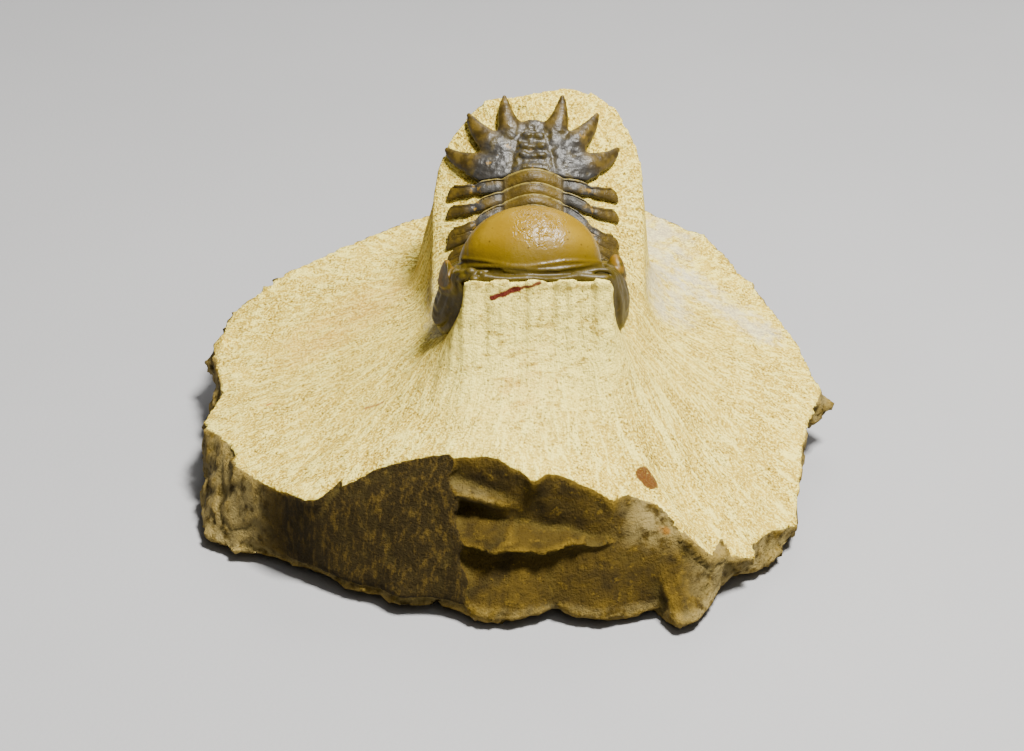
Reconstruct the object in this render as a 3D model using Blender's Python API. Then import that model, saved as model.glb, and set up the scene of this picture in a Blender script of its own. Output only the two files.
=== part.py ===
"""A prepared trilobite fossil: the animal's separate plates on a loose block of limestone.

The block is a broken slab whose top was ground into a low hill, with a steep ridge left in the
middle. The trilobite lies along the ridge, its head at the front (-Y) and its spiny tail at the
back, tilted up. Metres, +Z up, the flat underside on Z = 0.
"""

import math

import bmesh
import bpy
import numpy as np
from mathutils import Matrix, Vector, noise

MM = 0.001
GAP = 0.3 * MM  # kept between touching pieces
BED_GAP = 0.45 * MM  # the rock below the plates, whose undersides are made of flat facets

# The trilobite's midline, seen from the side: it sags behind the head and rises to the tail.
MIDLINE_X = 3.6 * MM
HEAD_FRONT = (-15.0 * MM, 46.0 * MM)  # Y and Z of the front margin's underside
HEAD_SLOPE = math.radians(-20)
TAIL_SLOPE = math.radians(42)
BEND_START = 10.0 * MM
BEND_END = 38.0 * MM

# Lengths along the midline.
HEAD_LENGTH = 16.0 * MM
SEGMENT_COUNT = 11
FIRST_PITCH = 1.6 * MM  # the segments behind the head are telescoped, those by the tail are not
LAST_PITCH = 2.6 * MM
TAIL_LENGTH = 9.8 * MM
THORAX_START = HEAD_LENGTH
TAIL_START = THORAX_START + SEGMENT_COUNT * (FIRST_PITCH + LAST_PITCH) / 2
BODY_END = TAIL_START + TAIL_LENGTH
BED_END = TAIL_START + 13.6 * MM  # the rock goes on past the tail spines

# The head shield.
HEAD_FLAT = 11.0 * MM  # half width of the part that isn't folded down
CHEEK_REACH = 5.4 * MM  # how far the folded cheek stands outside that
CHEEK_DROP = 10.0 * MM
CHEEK_ARC = 12.0 * MM
HEAD_ARC = HEAD_FLAT + CHEEK_ARC
FRONT_SWEEP = 6.5 * MM  # how far the margin sweeps back at the cheek's edge
SHELL = 1.2 * MM
GLABELLA_CENTRE = 7.9 * MM
GLABELLA_HALF_LENGTH = 6.7 * MM
GLABELLA_HALF_WIDTH = 11.6 * MM
GLABELLA_HEIGHT = 10.2 * MM
BORDER_ROLL = 0.8 * MM
BORDER_WIDTH = 1.3 * MM
NECK_RING_HEIGHT = 1.6 * MM
NECK_RING_HALF_WIDTH = 7.0 * MM
EYE_PLACE = (8.2 * MM, 15.0 * MM)  # along the midline, and out along the cheek
EYE_RADIUS = 1.9 * MM
EYE_HEIGHT = 2.6 * MM

# The thorax.
THORAX_HALF_WIDTH = 15.0 * MM
AXIS_HALF_WIDTH = 5.2 * MM
AXIS_HEIGHT = 2.6 * MM
FIRST_BOW = 0.4 * MM  # how far the rings over the axis bow back in the middle
LAST_BOW = 1.6 * MM
RIB_HEIGHT = 1.5 * MM
RIB_FREE_FROM = 10.5 * MM  # outside this the ribs taper to separate blunt points
FIRST_RIB_DROP = 7.0 * MM
LAST_RIB_DROP = 3.4 * MM
RIB_DROP_SETTLES = 34.0 * MM

# The tail shield.
TAIL_HALF_WIDTH = 11.4 * MM
TAIL_AXIS_HALF_WIDTH = 3.6 * MM
TAIL_AXIS_HEIGHT = 1.5 * MM
TAIL_SHELL = 1.4 * MM
SPINE_ANGLES = (20.0, 45.0, 71.0)  # from straight back, each on both sides
SPINE_REACH = (14.6 * MM, 15.6 * MM, 15.6 * MM)
SPINE_ROOT_RADIUS = 1.5 * MM
SPINE_TIP_RADIUS = 0.25 * MM
END_BUMP_RADIUS = 1.3 * MM

# The ridge that carries the trilobite.
PILLAR_HALF_WIDTH = 12.2 * MM
RIDGE_HALF_WIDTH = 16.9 * MM
RIDGE_SHIFT = 1.2 * MM  # the ridge stands a little to the right of the midline at the tail
RIDGE_FOOT_FLARE = 2.4 * MM
RIDGE_BACK = 36.0 * MM
RIDGE_FOOT_Z = 25.0 * MM
RIDGE_INSIDE_Z = 12.0 * MM

# The block's broken edge: the rim of the ground top, going round from the front.
BLOCK_CENTRE = Vector((0.0, 6.0 * MM))
RIM = [
    (-2, -36, 26), (5, -37.5, 24.5), (13, -38.5, 21), (20, -38, 18), (27, -39, 15),
    (33, -39, 8.5), (39, -37, 6),
    (46, -26, 5.5), (48.5, -15, 8), (49.5, -6, 10.5), (54, 8, 12), (51.5, 22, 14), (45, 36, 17),
    (36, 48, 22.5), (22, 55, 26), (0, 55, 26), (-18, 50, 25), (-32, 45, 21.5), (-42, 40.5, 18.5),
    (-51, 34, 14), (-53.5, 24, 12), (-51, 8, 12), (-54, -3, 12), (-51, -13, 13),
    (-45, -22, 14), (-37, -31, 16), (-27, -29.5, 20), (-18, -31.5, 23), (-9, -34.5, 25.5),
]
# The edge of the broken underside, going round the same way.
FOOT = [
    (-2, -43.5, 1.5), (8, -42.5, 2.5), (20, -44.5, 1.8), (30, -41, 1.5), (38, -35, 2.5),
    (46, -25, 3.5), (47.5, -12, 4), (51, 8, 4), (50, 24, 4), (42, 40, 4), (24, 54, 3),
    (0, 57, 3), (-24, 52, 3), (-44, 42, 4), (-53, 26, 4), (-53, 6, 4), (-55, -6, 4),
    (-51.5, -22, 3.5), (-46, -28, 2.5), (-36, -32, 2.5), (-24, -40, 2), (-12, -43, 1.8),
]
SOLE_INSET = 5.0 * MM  # how far the flat sole stays inside that edge
# The line where the ground hill meets the ridge, going round the same way.
HILL_TOP = [
    (3.6, -18.5, 35.5), (12, -17.5, 35), (18, -13, 33.5), (20, -5, 30), (22, 4, 27.5),
    (23, 20, 26), (23, 34, 26), (16, 42, 27), (3.6, 44, 27.5), (-9, 42, 27), (-14.5, 34, 26.5),
    (-14.5, 20, 26), (-14, 4, 27.5), (-12.5, -5, 30), (-11, -13, 33.5), (-5, -17.5, 35),
]
HILL_SAG = 0.07  # how hollow the ground slope is
ROUND_STEPS = 84
SLOPE_STEPS = 11
BREAK_ROUGHNESS = 1.1 * MM
SPUR_TIP = Vector((27.3 * MM, -46.8 * MM, 1.0 * MM))
SPUR_ROOT = Vector((26.0 * MM, -38.0 * MM, 5.0 * MM))
SPUR_RADIUS = 4.2 * MM

LIMESTONE = ("limestone", (0.72, 0.62, 0.42, 1.0), 0.9)
SHELL_BROWN = ("shell brown", (0.36, 0.24, 0.06, 1.0), 0.3)
SHELL_SLATE = ("shell slate", (0.16, 0.14, 0.15, 1.0), 0.4)


def smooth_step(value, low, high):
    """0 below low, 1 above high, and a soft change between."""
    share = np.clip((value - low) / (high - low), 0.0, 1.0)
    return share * share * (3.0 - 2.0 * share)


class Midline:
    """The trilobite's midline as a curve in the YZ plane, by distance along it."""

    def __init__(self):
        self.along = np.linspace(0.0, BED_END + 4 * MM, 400)
        step = self.along[1] - self.along[0]
        bend = smooth_step(self.along, BEND_START, BEND_END)
        self.slope = HEAD_SLOPE + (TAIL_SLOPE - HEAD_SLOPE) * bend
        self.y = HEAD_FRONT[0] + np.concatenate([[0.0], np.cumsum(np.cos(self.slope[:-1])) * step])
        self.z = HEAD_FRONT[1] + np.concatenate([[0.0], np.cumsum(np.sin(self.slope[:-1])) * step])

    def place(self, along, out, height):
        """The point at a distance along, an offset to the side and a height off the midline."""
        slope = np.interp(along, self.along, self.slope)
        y = np.interp(along, self.along, self.y) + (along < 0) * along * math.cos(HEAD_SLOPE)
        z = np.interp(along, self.along, self.z) + (along < 0) * along * math.sin(HEAD_SLOPE)
        return Vector((MIDLINE_X + out, y - math.sin(slope) * height, z + math.cos(slope) * height))


MIDLINE = Midline()


def rib_drop(along):
    """How far the outer edge hangs below the midline at each place along the body."""
    settle = smooth_step(along, THORAX_START, RIB_DROP_SETTLES)
    return FIRST_RIB_DROP + (LAST_RIB_DROP - FIRST_RIB_DROP) * settle


def body_bed(along, out):
    """Height of the shell's underside behind the head: an arch, flat near the axis."""
    folded = np.clip((abs(out) - 5 * MM) / (THORAX_HALF_WIDTH - 5 * MM), 0.0, 1.6)
    return -rib_drop(along) * folded**1.7


def head_fold(arc):
    """Offset and height of the head's underside at a distance out along its arch."""
    folded = np.clip((abs(arc) - HEAD_FLAT) / CHEEK_ARC, 0.0, 1.2)
    out = min(abs(arc), HEAD_FLAT) + CHEEK_REACH * folded**0.7
    return math.copysign(out, arc), -CHEEK_DROP * folded**1.8


def head_bed(out):
    """Height of the head's underside at an offset: the inverse of head_fold."""
    folded = np.clip((abs(out) - HEAD_FLAT) / CHEEK_REACH, 0.0, 1.0)
    return -CHEEK_DROP * folded ** (1.8 / 0.7)


def bed_height(along, out):
    """The surface that every plate lies on: it clears both where the head meets the body."""
    head = head_bed(out)
    body = body_bed(along, out)
    to_joint = smooth_step(along, HEAD_LENGTH - 6 * MM, HEAD_LENGTH - 1 * MM)
    past_joint = smooth_step(along, HEAD_LENGTH + 0.5 * MM, HEAD_LENGTH + 4 * MM)
    lower = min(head, body)
    return (1 - to_joint) * head + (to_joint - past_joint) * lower + past_joint * body


def bed_z(y, out):
    """World height of the bed at a Y and an offset from the midline."""
    along = np.linspace(-2 * MM, BED_END, 160)
    points = [MIDLINE.place(a, out, bed_height(a, out)) for a in along]
    return float(np.interp(y, [p.y for p in points], [p.z for p in points]))


def rock_z(y, out):
    """World height of the rock under the plates, the same distance from them on steep places."""
    reach = 0.2 * MM
    steep = (bed_z(y, out + reach) - bed_z(y, out - reach)) / (2 * reach)
    return bed_z(y, out) - BED_GAP * min(math.hypot(1.0, steep), 4.0)


def new_collection(name):
    collection = bpy.data.collections.new(name)
    bpy.context.scene.collection.children.link(collection)
    return collection


def new_material(name, colour, roughness):
    material = bpy.data.materials.get(name) or bpy.data.materials.new(name)
    material.use_nodes = True
    shader = material.node_tree.nodes["Principled BSDF"]
    shader.inputs["Base Color"].default_value = colour
    shader.inputs["Roughness"].default_value = roughness
    shader.inputs["Metallic"].default_value = 0.0
    return material


def add_object(name, mesh, collection, finish=None):
    """Put a mesh in the scene under a name, shaded smooth."""
    piece = bpy.data.objects.new(name, mesh)
    collection.objects.link(piece)
    if finish:
        mesh.materials.append(new_material(*finish))
    mesh.shade_smooth()
    mesh.set_sharp_from_angle(angle=math.radians(50))
    return piece


def loft(name, sections):
    """A closed skin through a row of sections that have the same number of points."""
    shape = bmesh.new()
    rows = [[shape.verts.new(point) for point in section] for section in sections]
    count = len(rows[0])
    for here, there in zip(rows[:-1], rows[1:]):
        for i in range(count):
            j = (i + 1) % count
            shape.faces.new((here[i], here[j], there[j], there[i]))
    for end in (rows[0], rows[-1]):
        middle = shape.verts.new(sum((v.co for v in end), Vector()) / count)
        for i in range(count):
            shape.faces.new((end[i], middle, end[(i + 1) % count]))
    bmesh.ops.recalc_face_normals(shape, faces=shape.faces)
    mesh = bpy.data.meshes.new(name)
    shape.to_mesh(mesh)
    shape.free()
    return mesh


def apply_boolean(target, tool, operation):
    """Cut or join a piece with a tool, keep the result as plain mesh, and drop the tool."""
    change = target.modifiers.new(operation.lower(), "BOOLEAN")
    change.operation = operation
    change.solver = "EXACT"
    change.object = tool
    bpy.context.view_layer.update()
    evaluated = target.evaluated_get(bpy.context.evaluated_depsgraph_get())
    mesh = bpy.data.meshes.new_from_object(evaluated)
    target.modifiers.clear()
    old = target.data
    target.data = mesh
    bpy.data.meshes.remove(old)
    bpy.data.objects.remove(tool)
    mesh.shade_smooth()
    mesh.set_sharp_from_angle(angle=math.radians(50))


# ---- the limestone block ----


def closed_curve(points, count):
    """Points read round a smooth closed curve through the given ones, by direction from the centre."""
    places = np.array([[value * MM for value in point] for point in points])
    angle = np.arctan2(places[:, 1] - BLOCK_CENTRE.y, places[:, 0] - BLOCK_CENTRE.x)
    order = np.argsort(angle)
    angle = angle[order]
    places = places[order]
    angle = np.concatenate([angle - math.tau, angle, angle + math.tau])
    places = np.concatenate([places] * 3)
    wanted = np.linspace(-math.pi, math.pi, count, endpoint=False)
    return [Vector([float(np.interp(a, angle, places[:, axis])) for axis in range(3)]) for a in wanted]


def inset(point, distance, z):
    """The point moved towards the block's centre, at a new height."""
    flat = Vector((point.x - BLOCK_CENTRE.x, point.y - BLOCK_CENTRE.y))
    flat *= 1 - distance / flat.length
    return Vector((BLOCK_CENTRE.x + flat.x, BLOCK_CENTRE.y + flat.y, z))


def roughen(point, amount, size=7 * MM):
    """Push a point about by smooth noise, sideways and up."""
    return point + noise.noise_vector(point / size) * amount


def hill_mesh():
    """The broken slab with its ground, hollow slopes, up to the foot of the ridge."""
    rim = closed_curve(RIM, ROUND_STEPS)
    foot = closed_curve(FOOT, ROUND_STEPS)
    top = closed_curve(HILL_TOP, ROUND_STEPS)
    sections = [[inset(p, SOLE_INSET * 2.2, 0.0) for p in foot], [inset(p, SOLE_INSET, 0.0) for p in foot]]
    sections.append([roughen(p, BREAK_ROUGHNESS * 0.6) for p in foot])
    for share in (0.3, 0.6, 0.85):
        ring = [low.lerp(high, share) for low, high in zip(foot, rim)]
        sections.append([roughen(p, BREAK_ROUGHNESS) for p in ring])
    for step in range(SLOPE_STEPS + 1):
        share = (step / SLOPE_STEPS) ** 1.15
        sag = HILL_SAG * math.sin(math.pi * share)
        ring = [edge.lerp(crown, share) for edge, crown in zip(rim, top)]
        sections.append([p - Vector((0, 0, sag * (crown.z - edge.z + 12 * MM)))
                         for p, edge, crown in zip(ring, rim, top)])
    return loft("matrix", sections)


def ridge_half_width(y, side):
    """Half the width of the ridge's top: narrow under the head, rounded off behind, more so at the left."""
    widen = smooth_step(y, -6 * MM, 6 * MM)
    width = PILLAR_HALF_WIDTH + (RIDGE_HALF_WIDTH - PILLAR_HALF_WIDTH) * widen
    past = np.clip((y - RIDGE_BACK + 13 * MM) / (14 * MM), 0.0, 1.0)
    return width * float(1 - past**3) ** (0.5 if side > 0 else 1.2)


def ridge_centre(y):
    """Where the ridge's middle stands, beside the trilobite's midline."""
    return RIDGE_SHIFT * smooth_step(y, 5 * MM, 25 * MM)


def ridge_section(y, sink):
    """One upright slice across the ridge, as seen from the front, going round."""
    flare = RIDGE_FOOT_FLARE * smooth_step(y, HEAD_FRONT[0], 0.0)
    shares = (0.0, 0.3, 0.5, 0.65, 0.76, 0.86, 0.94, 1.0)
    sides = []
    for side in (1, -1):
        edge = ridge_half_width(y, side) + side * ridge_centre(y)
        profile = [(edge * share, rock_z(y, edge * share) - sink) for share in shares]
        edge_z = min(profile[-1][1], rock_z(y, edge + 1 * MM)) - 1.0 * MM
        profile.append((edge + 0.8 * MM, edge_z))
        profile.append((edge + 0.8 * MM + flare / 2, RIDGE_FOOT_Z + 0.45 * (edge_z - RIDGE_FOOT_Z)))
        profile.append((edge + 0.8 * MM + flare, RIDGE_FOOT_Z - 1 * MM))
        profile.append((edge + 0.8 * MM + flare, RIDGE_INSIDE_Z))
        sides.append([Vector((MIDLINE_X + side * out, y, z)) for out, z in profile])
    right, left = sides
    return right + left[:0:-1]


def ridge_mesh():
    """The steep ridge under the trilobite, sunk by the gap below the plates."""
    front = HEAD_FRONT[0]
    sections = [ridge_section(front - 2.6 * MM, 11 * MM), ridge_section(front - 1.4 * MM, 5 * MM)]
    for y in np.linspace(front + 0.2 * MM, RIDGE_BACK, 34):
        sections.append(ridge_section(float(y), 0.0))
    sections.append(ridge_section(RIDGE_BACK + 0.9 * MM, 3 * MM))
    return loft("ridge", sections)


def make_matrix(collection, tools):
    matrix = add_object("matrix", hill_mesh(), collection, LIMESTONE)
    ridge = add_object("ridge", ridge_mesh(), tools)
    apply_boolean(matrix, ridge, "UNION")
    spur = cone_between("spur", SPUR_ROOT, SPUR_TIP, SPUR_RADIUS, 0.6 * MM, 7, tools)
    apply_boolean(matrix, spur, "UNION")
    return matrix


# ---- the trilobite ----


def cone_between(name, root, tip, root_radius, tip_radius, sides, collection):
    """A tapered round spike from one point to another."""
    axis = tip - root
    shape = bmesh.new()
    bmesh.ops.create_cone(shape, cap_ends=True, segments=sides, radius1=root_radius,
                          radius2=tip_radius, depth=axis.length)
    turn = Vector((0, 0, 1)).rotation_difference(axis).to_matrix().to_4x4()
    bmesh.ops.transform(shape, matrix=Matrix.Translation((root + tip) / 2) @ turn, verts=shape.verts)
    mesh = bpy.data.meshes.new(name)
    shape.to_mesh(mesh)
    shape.free()
    return add_object(name, mesh, collection)


def dome(distance):
    """A round bump's height by distance from its centre, both as shares."""
    return math.sqrt(max(0.0, 1.0 - distance * distance))


def head_front(arc):
    """Where the head's front margin lies along the body, by distance out along its arch."""
    swept = max(0.0, abs(arc) - 0.75 * HEAD_FLAT) / (HEAD_ARC - 0.75 * HEAD_FLAT)
    return FRONT_SWEEP * swept**1.6


def head_relief(along, arc):
    """Height of the head's outer surface above its underside."""
    front = along - head_front(arc)
    side = HEAD_ARC - abs(arc)
    height = SHELL
    height += BORDER_ROLL * dome(min(1.0, abs(min(front, side) - BORDER_WIDTH / 2) / (BORDER_WIDTH / 2)))
    reach = math.hypot((along - GLABELLA_CENTRE) / GLABELLA_HALF_LENGTH, arc / GLABELLA_HALF_WIDTH)
    height += GLABELLA_HEIGHT * dome(reach)
    neck = math.hypot((along - HEAD_LENGTH + 1 * MM) / (1.1 * MM), arc / NECK_RING_HALF_WIDTH)
    height += NECK_RING_HEIGHT * dome(neck)
    eye = math.hypot(along - EYE_PLACE[0], abs(arc) - EYE_PLACE[1]) / EYE_RADIUS
    height += EYE_HEIGHT * dome(eye)
    return height


def head_section(arc):
    """One slice through the head from front to back, at a distance out along its arch."""
    start = head_front(arc)
    back = HEAD_LENGTH - GAP / 2
    out, fold = head_fold(arc)
    tilt = -math.copysign(smooth_step(abs(arc), HEAD_FLAT * 0.95, HEAD_ARC), arc) * math.radians(62)
    shares = (0.0, 0.035, 0.075, 0.105, 0.15, 0.22, 0.32, 0.42)
    shares += (0.52, 0.62, 0.72, 0.8, 0.87, 0.915, 0.96, 1.0)
    section = []
    for share in shares:
        along = start + (back - start) * share
        height = head_relief(along, arc) * (0.45 if share in (0.0, 1.0) else 1.0)
        section.append(MIDLINE.place(along, out - math.sin(tilt) * height, fold + math.cos(tilt) * height))
    for share in (1.0, 0.66, 0.33, 0.0):
        section.append(MIDLINE.place(start + (back - start) * share, out, fold))
    return section


def make_head(collection):
    """The head shield: inflated glabella, folded cheeks, rolled border, neck ring and eyes in one."""
    inner = np.linspace(-HEAD_FLAT, HEAD_FLAT, 15)
    outer = np.linspace(HEAD_FLAT, HEAD_ARC, 11)[1:]
    arcs = np.concatenate([-outer[::-1], inner, outer])
    skin = loft("cephalon", [head_section(float(arc)) for arc in arcs])
    return add_object("cephalon", skin, collection, SHELL_BROWN)


def axis_bow(share, out):
    """How far the shell bows back over the axis, for a share of the thorax's length."""
    bow = FIRST_BOW + (LAST_BOW - FIRST_BOW) * share
    return bow * max(0.0, 1 - (out / AXIS_HALF_WIDTH) ** 2)


def segment_span(number):
    """Where a thorax segment starts along the midline, and its length."""
    growth = (LAST_PITCH - FIRST_PITCH) / (SEGMENT_COUNT - 1)
    before = number - 1
    return THORAX_START + before * (FIRST_PITCH + growth * (before - 1) / 2), FIRST_PITCH + growth * before


def segment_section(number, out):
    """One slice through a thorax segment from front to back, at an offset from the midline."""
    start, pitch = segment_span(number)
    free = smooth_step(abs(out), RIB_FREE_FROM, THORAX_HALF_WIDTH)
    half_length = (pitch - GAP) / 2 * (1 - 0.35 * free)
    middle = start + pitch / 2 + 1.3 * MM * free + axis_bow((number - 1) / (SEGMENT_COUNT - 1), out)
    arched = dome(min(1.0, abs(out) / AXIS_HALF_WIDTH))
    height = RIB_HEIGHT + AXIS_HEIGHT * arched**1.5 - 0.4 * RIB_HEIGHT * free
    height -= 0.45 * RIB_HEIGHT * math.exp(-(((abs(out) - AXIS_HALF_WIDTH) / (0.9 * MM)) ** 2))
    bed = body_bed(middle, out)
    outline = ((-1, 0), (1, 0), (1, 0.55), (0.65, 0.98), (-0.1, 0.9), (-0.75, 0.75), (-1, 0.4))
    return [MIDLINE.place(middle + a * half_length, out, bed + h * height) for a, h in outline]


def make_segment(number, collection):
    """One thorax segment: the raised axis ring with a rib on each side."""
    shares = (0.04, 0.14, 0.24, 0.32, 0.37, 0.45, 0.56, 0.68, 0.8, 0.9, 1.0)
    right = [THORAX_HALF_WIDTH * share for share in shares]
    outs = [-out for out in reversed(right)] + right
    name = f"thorax_segment_{number:02d}"
    skin = loft(name, [segment_section(number, out) for out in outs])
    return add_object(name, skin, collection, SHELL_SLATE)


def tail_back(out):
    """Length of the tail shield at an offset from the midline: a half ellipse."""
    return (TAIL_LENGTH - 0.6 * MM) * max(0.05, dome(out / (TAIL_HALF_WIDTH + 0.3 * MM))) ** 0.8


def tail_section(out):
    """One slice through the tail shield from front to back, with its axis rings and end bump."""
    front = TAIL_START + GAP / 2 + axis_bow(1.0, out)
    length = tail_back(out) - GAP / 2 - axis_bow(1.0, out)
    outline = [(0.0, 0.0), (0.5, 0.0), (1.0, 0.0)]
    outline += [(1.0, 0.5), (0.93, 0.85), (0.8, 1.0), (0.66, 1.0), (0.52, 1.0), (0.38, 1.0), (0.24, 1.0)]
    outline += [(0.1, 1.0), (0.0, 0.6)]
    section = []
    for share, lift in outline:
        along = front + length * share
        axis_half = TAIL_AXIS_HALF_WIDTH * (1 - 0.45 * share)
        height = TAIL_SHELL + TAIL_AXIS_HEIGHT * dome(min(1.0, abs(out) / axis_half)) * (1 - 0.5 * share)
        bump = math.hypot(along - TAIL_START - TAIL_LENGTH + 1.8 * MM, out) / END_BUMP_RADIUS
        height += 1.0 * MM * dome(bump)
        section.append(MIDLINE.place(along, out, bed_height(along, out) + lift * height))
    return section


def make_tail(collection, tools):
    """The tail shield with three pairs of spines and the small bump between the last two."""
    shares = (0.05, 0.16, 0.24, 0.31, 0.42, 0.54, 0.66, 0.78, 0.88, 0.95, 1.0)
    right = [TAIL_HALF_WIDTH * share for share in shares]
    outs = [-out for out in reversed(right)] + right
    skin = loft("pygidium", [tail_section(out) for out in outs])
    tail = add_object("pygidium", skin, collection, SHELL_SLATE)
    for angle, reach in zip(SPINE_ANGLES, SPINE_REACH):
        for side in (-1, 1):
            turn = math.radians(angle)
            root_out = side * 0.55 * reach * math.sin(turn)
            root_along = TAIL_START + 0.55 * reach * math.cos(turn)
            tip_out = side * reach * math.sin(turn)
            tip_along = TAIL_START + reach * math.cos(turn)
            root = MIDLINE.place(root_along, root_out, bed_height(root_along, root_out) + 1.7 * MM)
            tip = MIDLINE.place(tip_along, tip_out, bed_height(tip_along, tip_out) + 1.3 * MM)
            spine = cone_between("spine", root, tip, SPINE_ROOT_RADIUS, SPINE_TIP_RADIUS, 8, tools)
            apply_boolean(tail, spine, "UNION")
    return tail


def main():
    for leftover in list(bpy.data.objects):
        bpy.data.objects.remove(leftover)
    collection = new_collection("trilobite_fossil")
    tools = new_collection("tools")
    make_matrix(collection, tools)
    make_head(collection)
    for number in range(1, SEGMENT_COUNT + 1):
        make_segment(number, collection)
    make_tail(collection, tools)


main()
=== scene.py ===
"""The looks of a prepared trilobite fossil on its block of limestone.

Shapes are worked out in millimetres as closed skins: the rock from a distance field, the plates
in a flattened space of (along the body, out over the arch, height off the bed) that is then bent
to the animal's sagging midline. Meshes are written in metres.
"""

import logging
import math
from collections.abc import Sequence
from dataclasses import dataclass
from enum import Enum
from functools import reduce

import bpy
import numpy as np
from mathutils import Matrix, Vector


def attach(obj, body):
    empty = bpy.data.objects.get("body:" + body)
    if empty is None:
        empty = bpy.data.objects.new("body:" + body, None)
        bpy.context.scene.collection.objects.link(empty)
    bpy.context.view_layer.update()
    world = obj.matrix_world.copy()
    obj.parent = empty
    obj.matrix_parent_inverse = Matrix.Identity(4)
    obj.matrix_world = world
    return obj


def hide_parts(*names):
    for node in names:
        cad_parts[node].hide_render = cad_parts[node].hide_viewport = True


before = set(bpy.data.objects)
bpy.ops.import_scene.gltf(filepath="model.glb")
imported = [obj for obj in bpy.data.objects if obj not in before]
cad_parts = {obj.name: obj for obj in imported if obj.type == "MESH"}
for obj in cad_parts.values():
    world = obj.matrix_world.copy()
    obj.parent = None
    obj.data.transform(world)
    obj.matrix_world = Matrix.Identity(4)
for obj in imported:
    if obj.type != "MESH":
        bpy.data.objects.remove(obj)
log = logging.getLogger("trilobite")

MM = 0.001
Array = np.ndarray
Place = tuple[float, float, float]
Colour = tuple[float, float, float]
Socket = bpy.types.NodeSocket


# ---- numbers and noise ----


def soft_step(value: Array | float, low: float, high: float) -> Array:
    """Blend softly from 0 to 1.

    Args:
        value: Where to read the blend.
        low: The value at which it leaves 0.
        high: The value at which it reaches 1.

    Returns:
        The blend at each value.
    """
    share = np.clip((np.asarray(value, float) - low) / (high - low), 0.0, 1.0)
    return share * share * (3.0 - 2.0 * share)


def bump(value: Array | float, centre: float, width: float) -> Array:
    """A smooth hump of height 1.

    Args:
        value: Where to read it.
        centre: The middle of the hump.
        width: The distance at which it has fallen to about a third.

    Returns:
        The hump's height at each value.
    """
    return np.exp(-(((np.asarray(value, float) - centre) / width) ** 2))


def smooth_min(a: Array, b: Array, reach: float) -> Array:
    """Join two distance fields with a fillet.

    Args:
        a: The first field.
        b: The second field.
        reach: The fillet's size.

    Returns:
        The joined field.
    """
    share = np.clip(0.5 + 0.5 * (b - a) / reach, 0.0, 1.0)
    return b * (1 - share) + a * share - reach * share * (1 - share)


def smooth_max(a: Array, b: Array, reach: float) -> Array:
    """Cut one distance field by another with a rounded edge, as smooth_min joins them."""
    return -smooth_min(-a, -b, reach)


def ellipsoid(along: Array, out: Array, up: Array, radii: Sequence[float]) -> Array:
    """Distance from an ellipsoid at the origin, near enough for small shapes.

    Args:
        along: First coordinate.
        out: Second coordinate.
        up: Third coordinate.
        radii: The three half axes.

    Returns:
        Negative inside, positive outside.
    """
    a, b, c = radii
    near = np.sqrt((along / a) ** 2 + (out / b) ** 2 + (up / c) ** 2) + 1e-9
    slope = np.sqrt((along / a**2) ** 2 + (out / b**2) ** 2 + (up / c**2) ** 2) + 1e-9
    return near * (near - 1.0) / slope


def round_cone(points: Array, start: Array, end: Array, start_radius: float, end_radius: float) -> Array:
    """Distance from a tapered, round-ended rod.

    Args:
        points: Where to measure, as rows of three.
        start: The thick end's centre.
        end: The thin end's centre.
        start_radius: Radius at the start.
        end_radius: Radius at the end.

    Returns:
        Negative inside, positive outside.
    """
    axis = end - start
    share = np.clip(((points - start) @ axis) / (axis @ axis), 0.0, 1.0)
    nearest = start + share[..., None] * axis
    radius = start_radius + (end_radius - start_radius) * share
    return np.linalg.norm(points - nearest, axis=-1) - radius


def lattice(cells: Array, seed: int) -> Array:
    """A fixed random number from -1 to 1 for each whole-number cell.

    Args:
        cells: Whole numbers, as rows of three.
        seed: Picks a different set of numbers.

    Returns:
        One number a cell.
    """
    mixed = cells[..., 0] * 73856093 ^ cells[..., 1] * 19349663 ^ cells[..., 2] * 83492791
    mixed = (mixed ^ (seed * 2654435761)) & 0x7FFFFFFF
    mixed = ((mixed ^ (mixed >> 13)) * 1274126177) & 0x7FFFFFFF
    mixed = ((mixed ^ (mixed >> 15)) * 668265263) & 0x7FFFFFFF
    return ((mixed ^ (mixed >> 14)) & 0xFFFF) / 32767.5 - 1.0


def noise(points: Array, size: float | Sequence[float], seed: int = 0) -> Array:
    """Smooth noise from about -1 to 1.

    Args:
        points: Where to read it, as rows of three.
        size: The size of its features, one for all directions or one each.
        seed: Picks another pattern.

    Returns:
        One value a point.
    """
    scaled = points / np.asarray(size, float)
    base = np.floor(scaled).astype(np.int64)
    share = scaled - base
    share = share * share * (3 - 2 * share)
    total = np.zeros(len(points))
    for corner in range(8):
        offset = np.array([corner & 1, corner >> 1 & 1, corner >> 2])
        weight = np.prod(np.where(offset, share, 1 - share), axis=1)
        total += weight * lattice(base + offset, seed)
    return total


def rough(points: Array, size: float, octaves: int, seed: int = 0) -> Array:
    """Noise at several scales added up.

    Args:
        points: Where to read it, as rows of three.
        size: The size of the largest features.
        octaves: How many times the size is halved.
        seed: Picks another pattern.

    Returns:
        One value a point, from about -1 to 1.
    """
    total = np.zeros(len(points))
    for octave in range(octaves):
        total += noise(points, size / 2**octave, seed + octave) / 1.8**octave
    return total / 1.6


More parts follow.
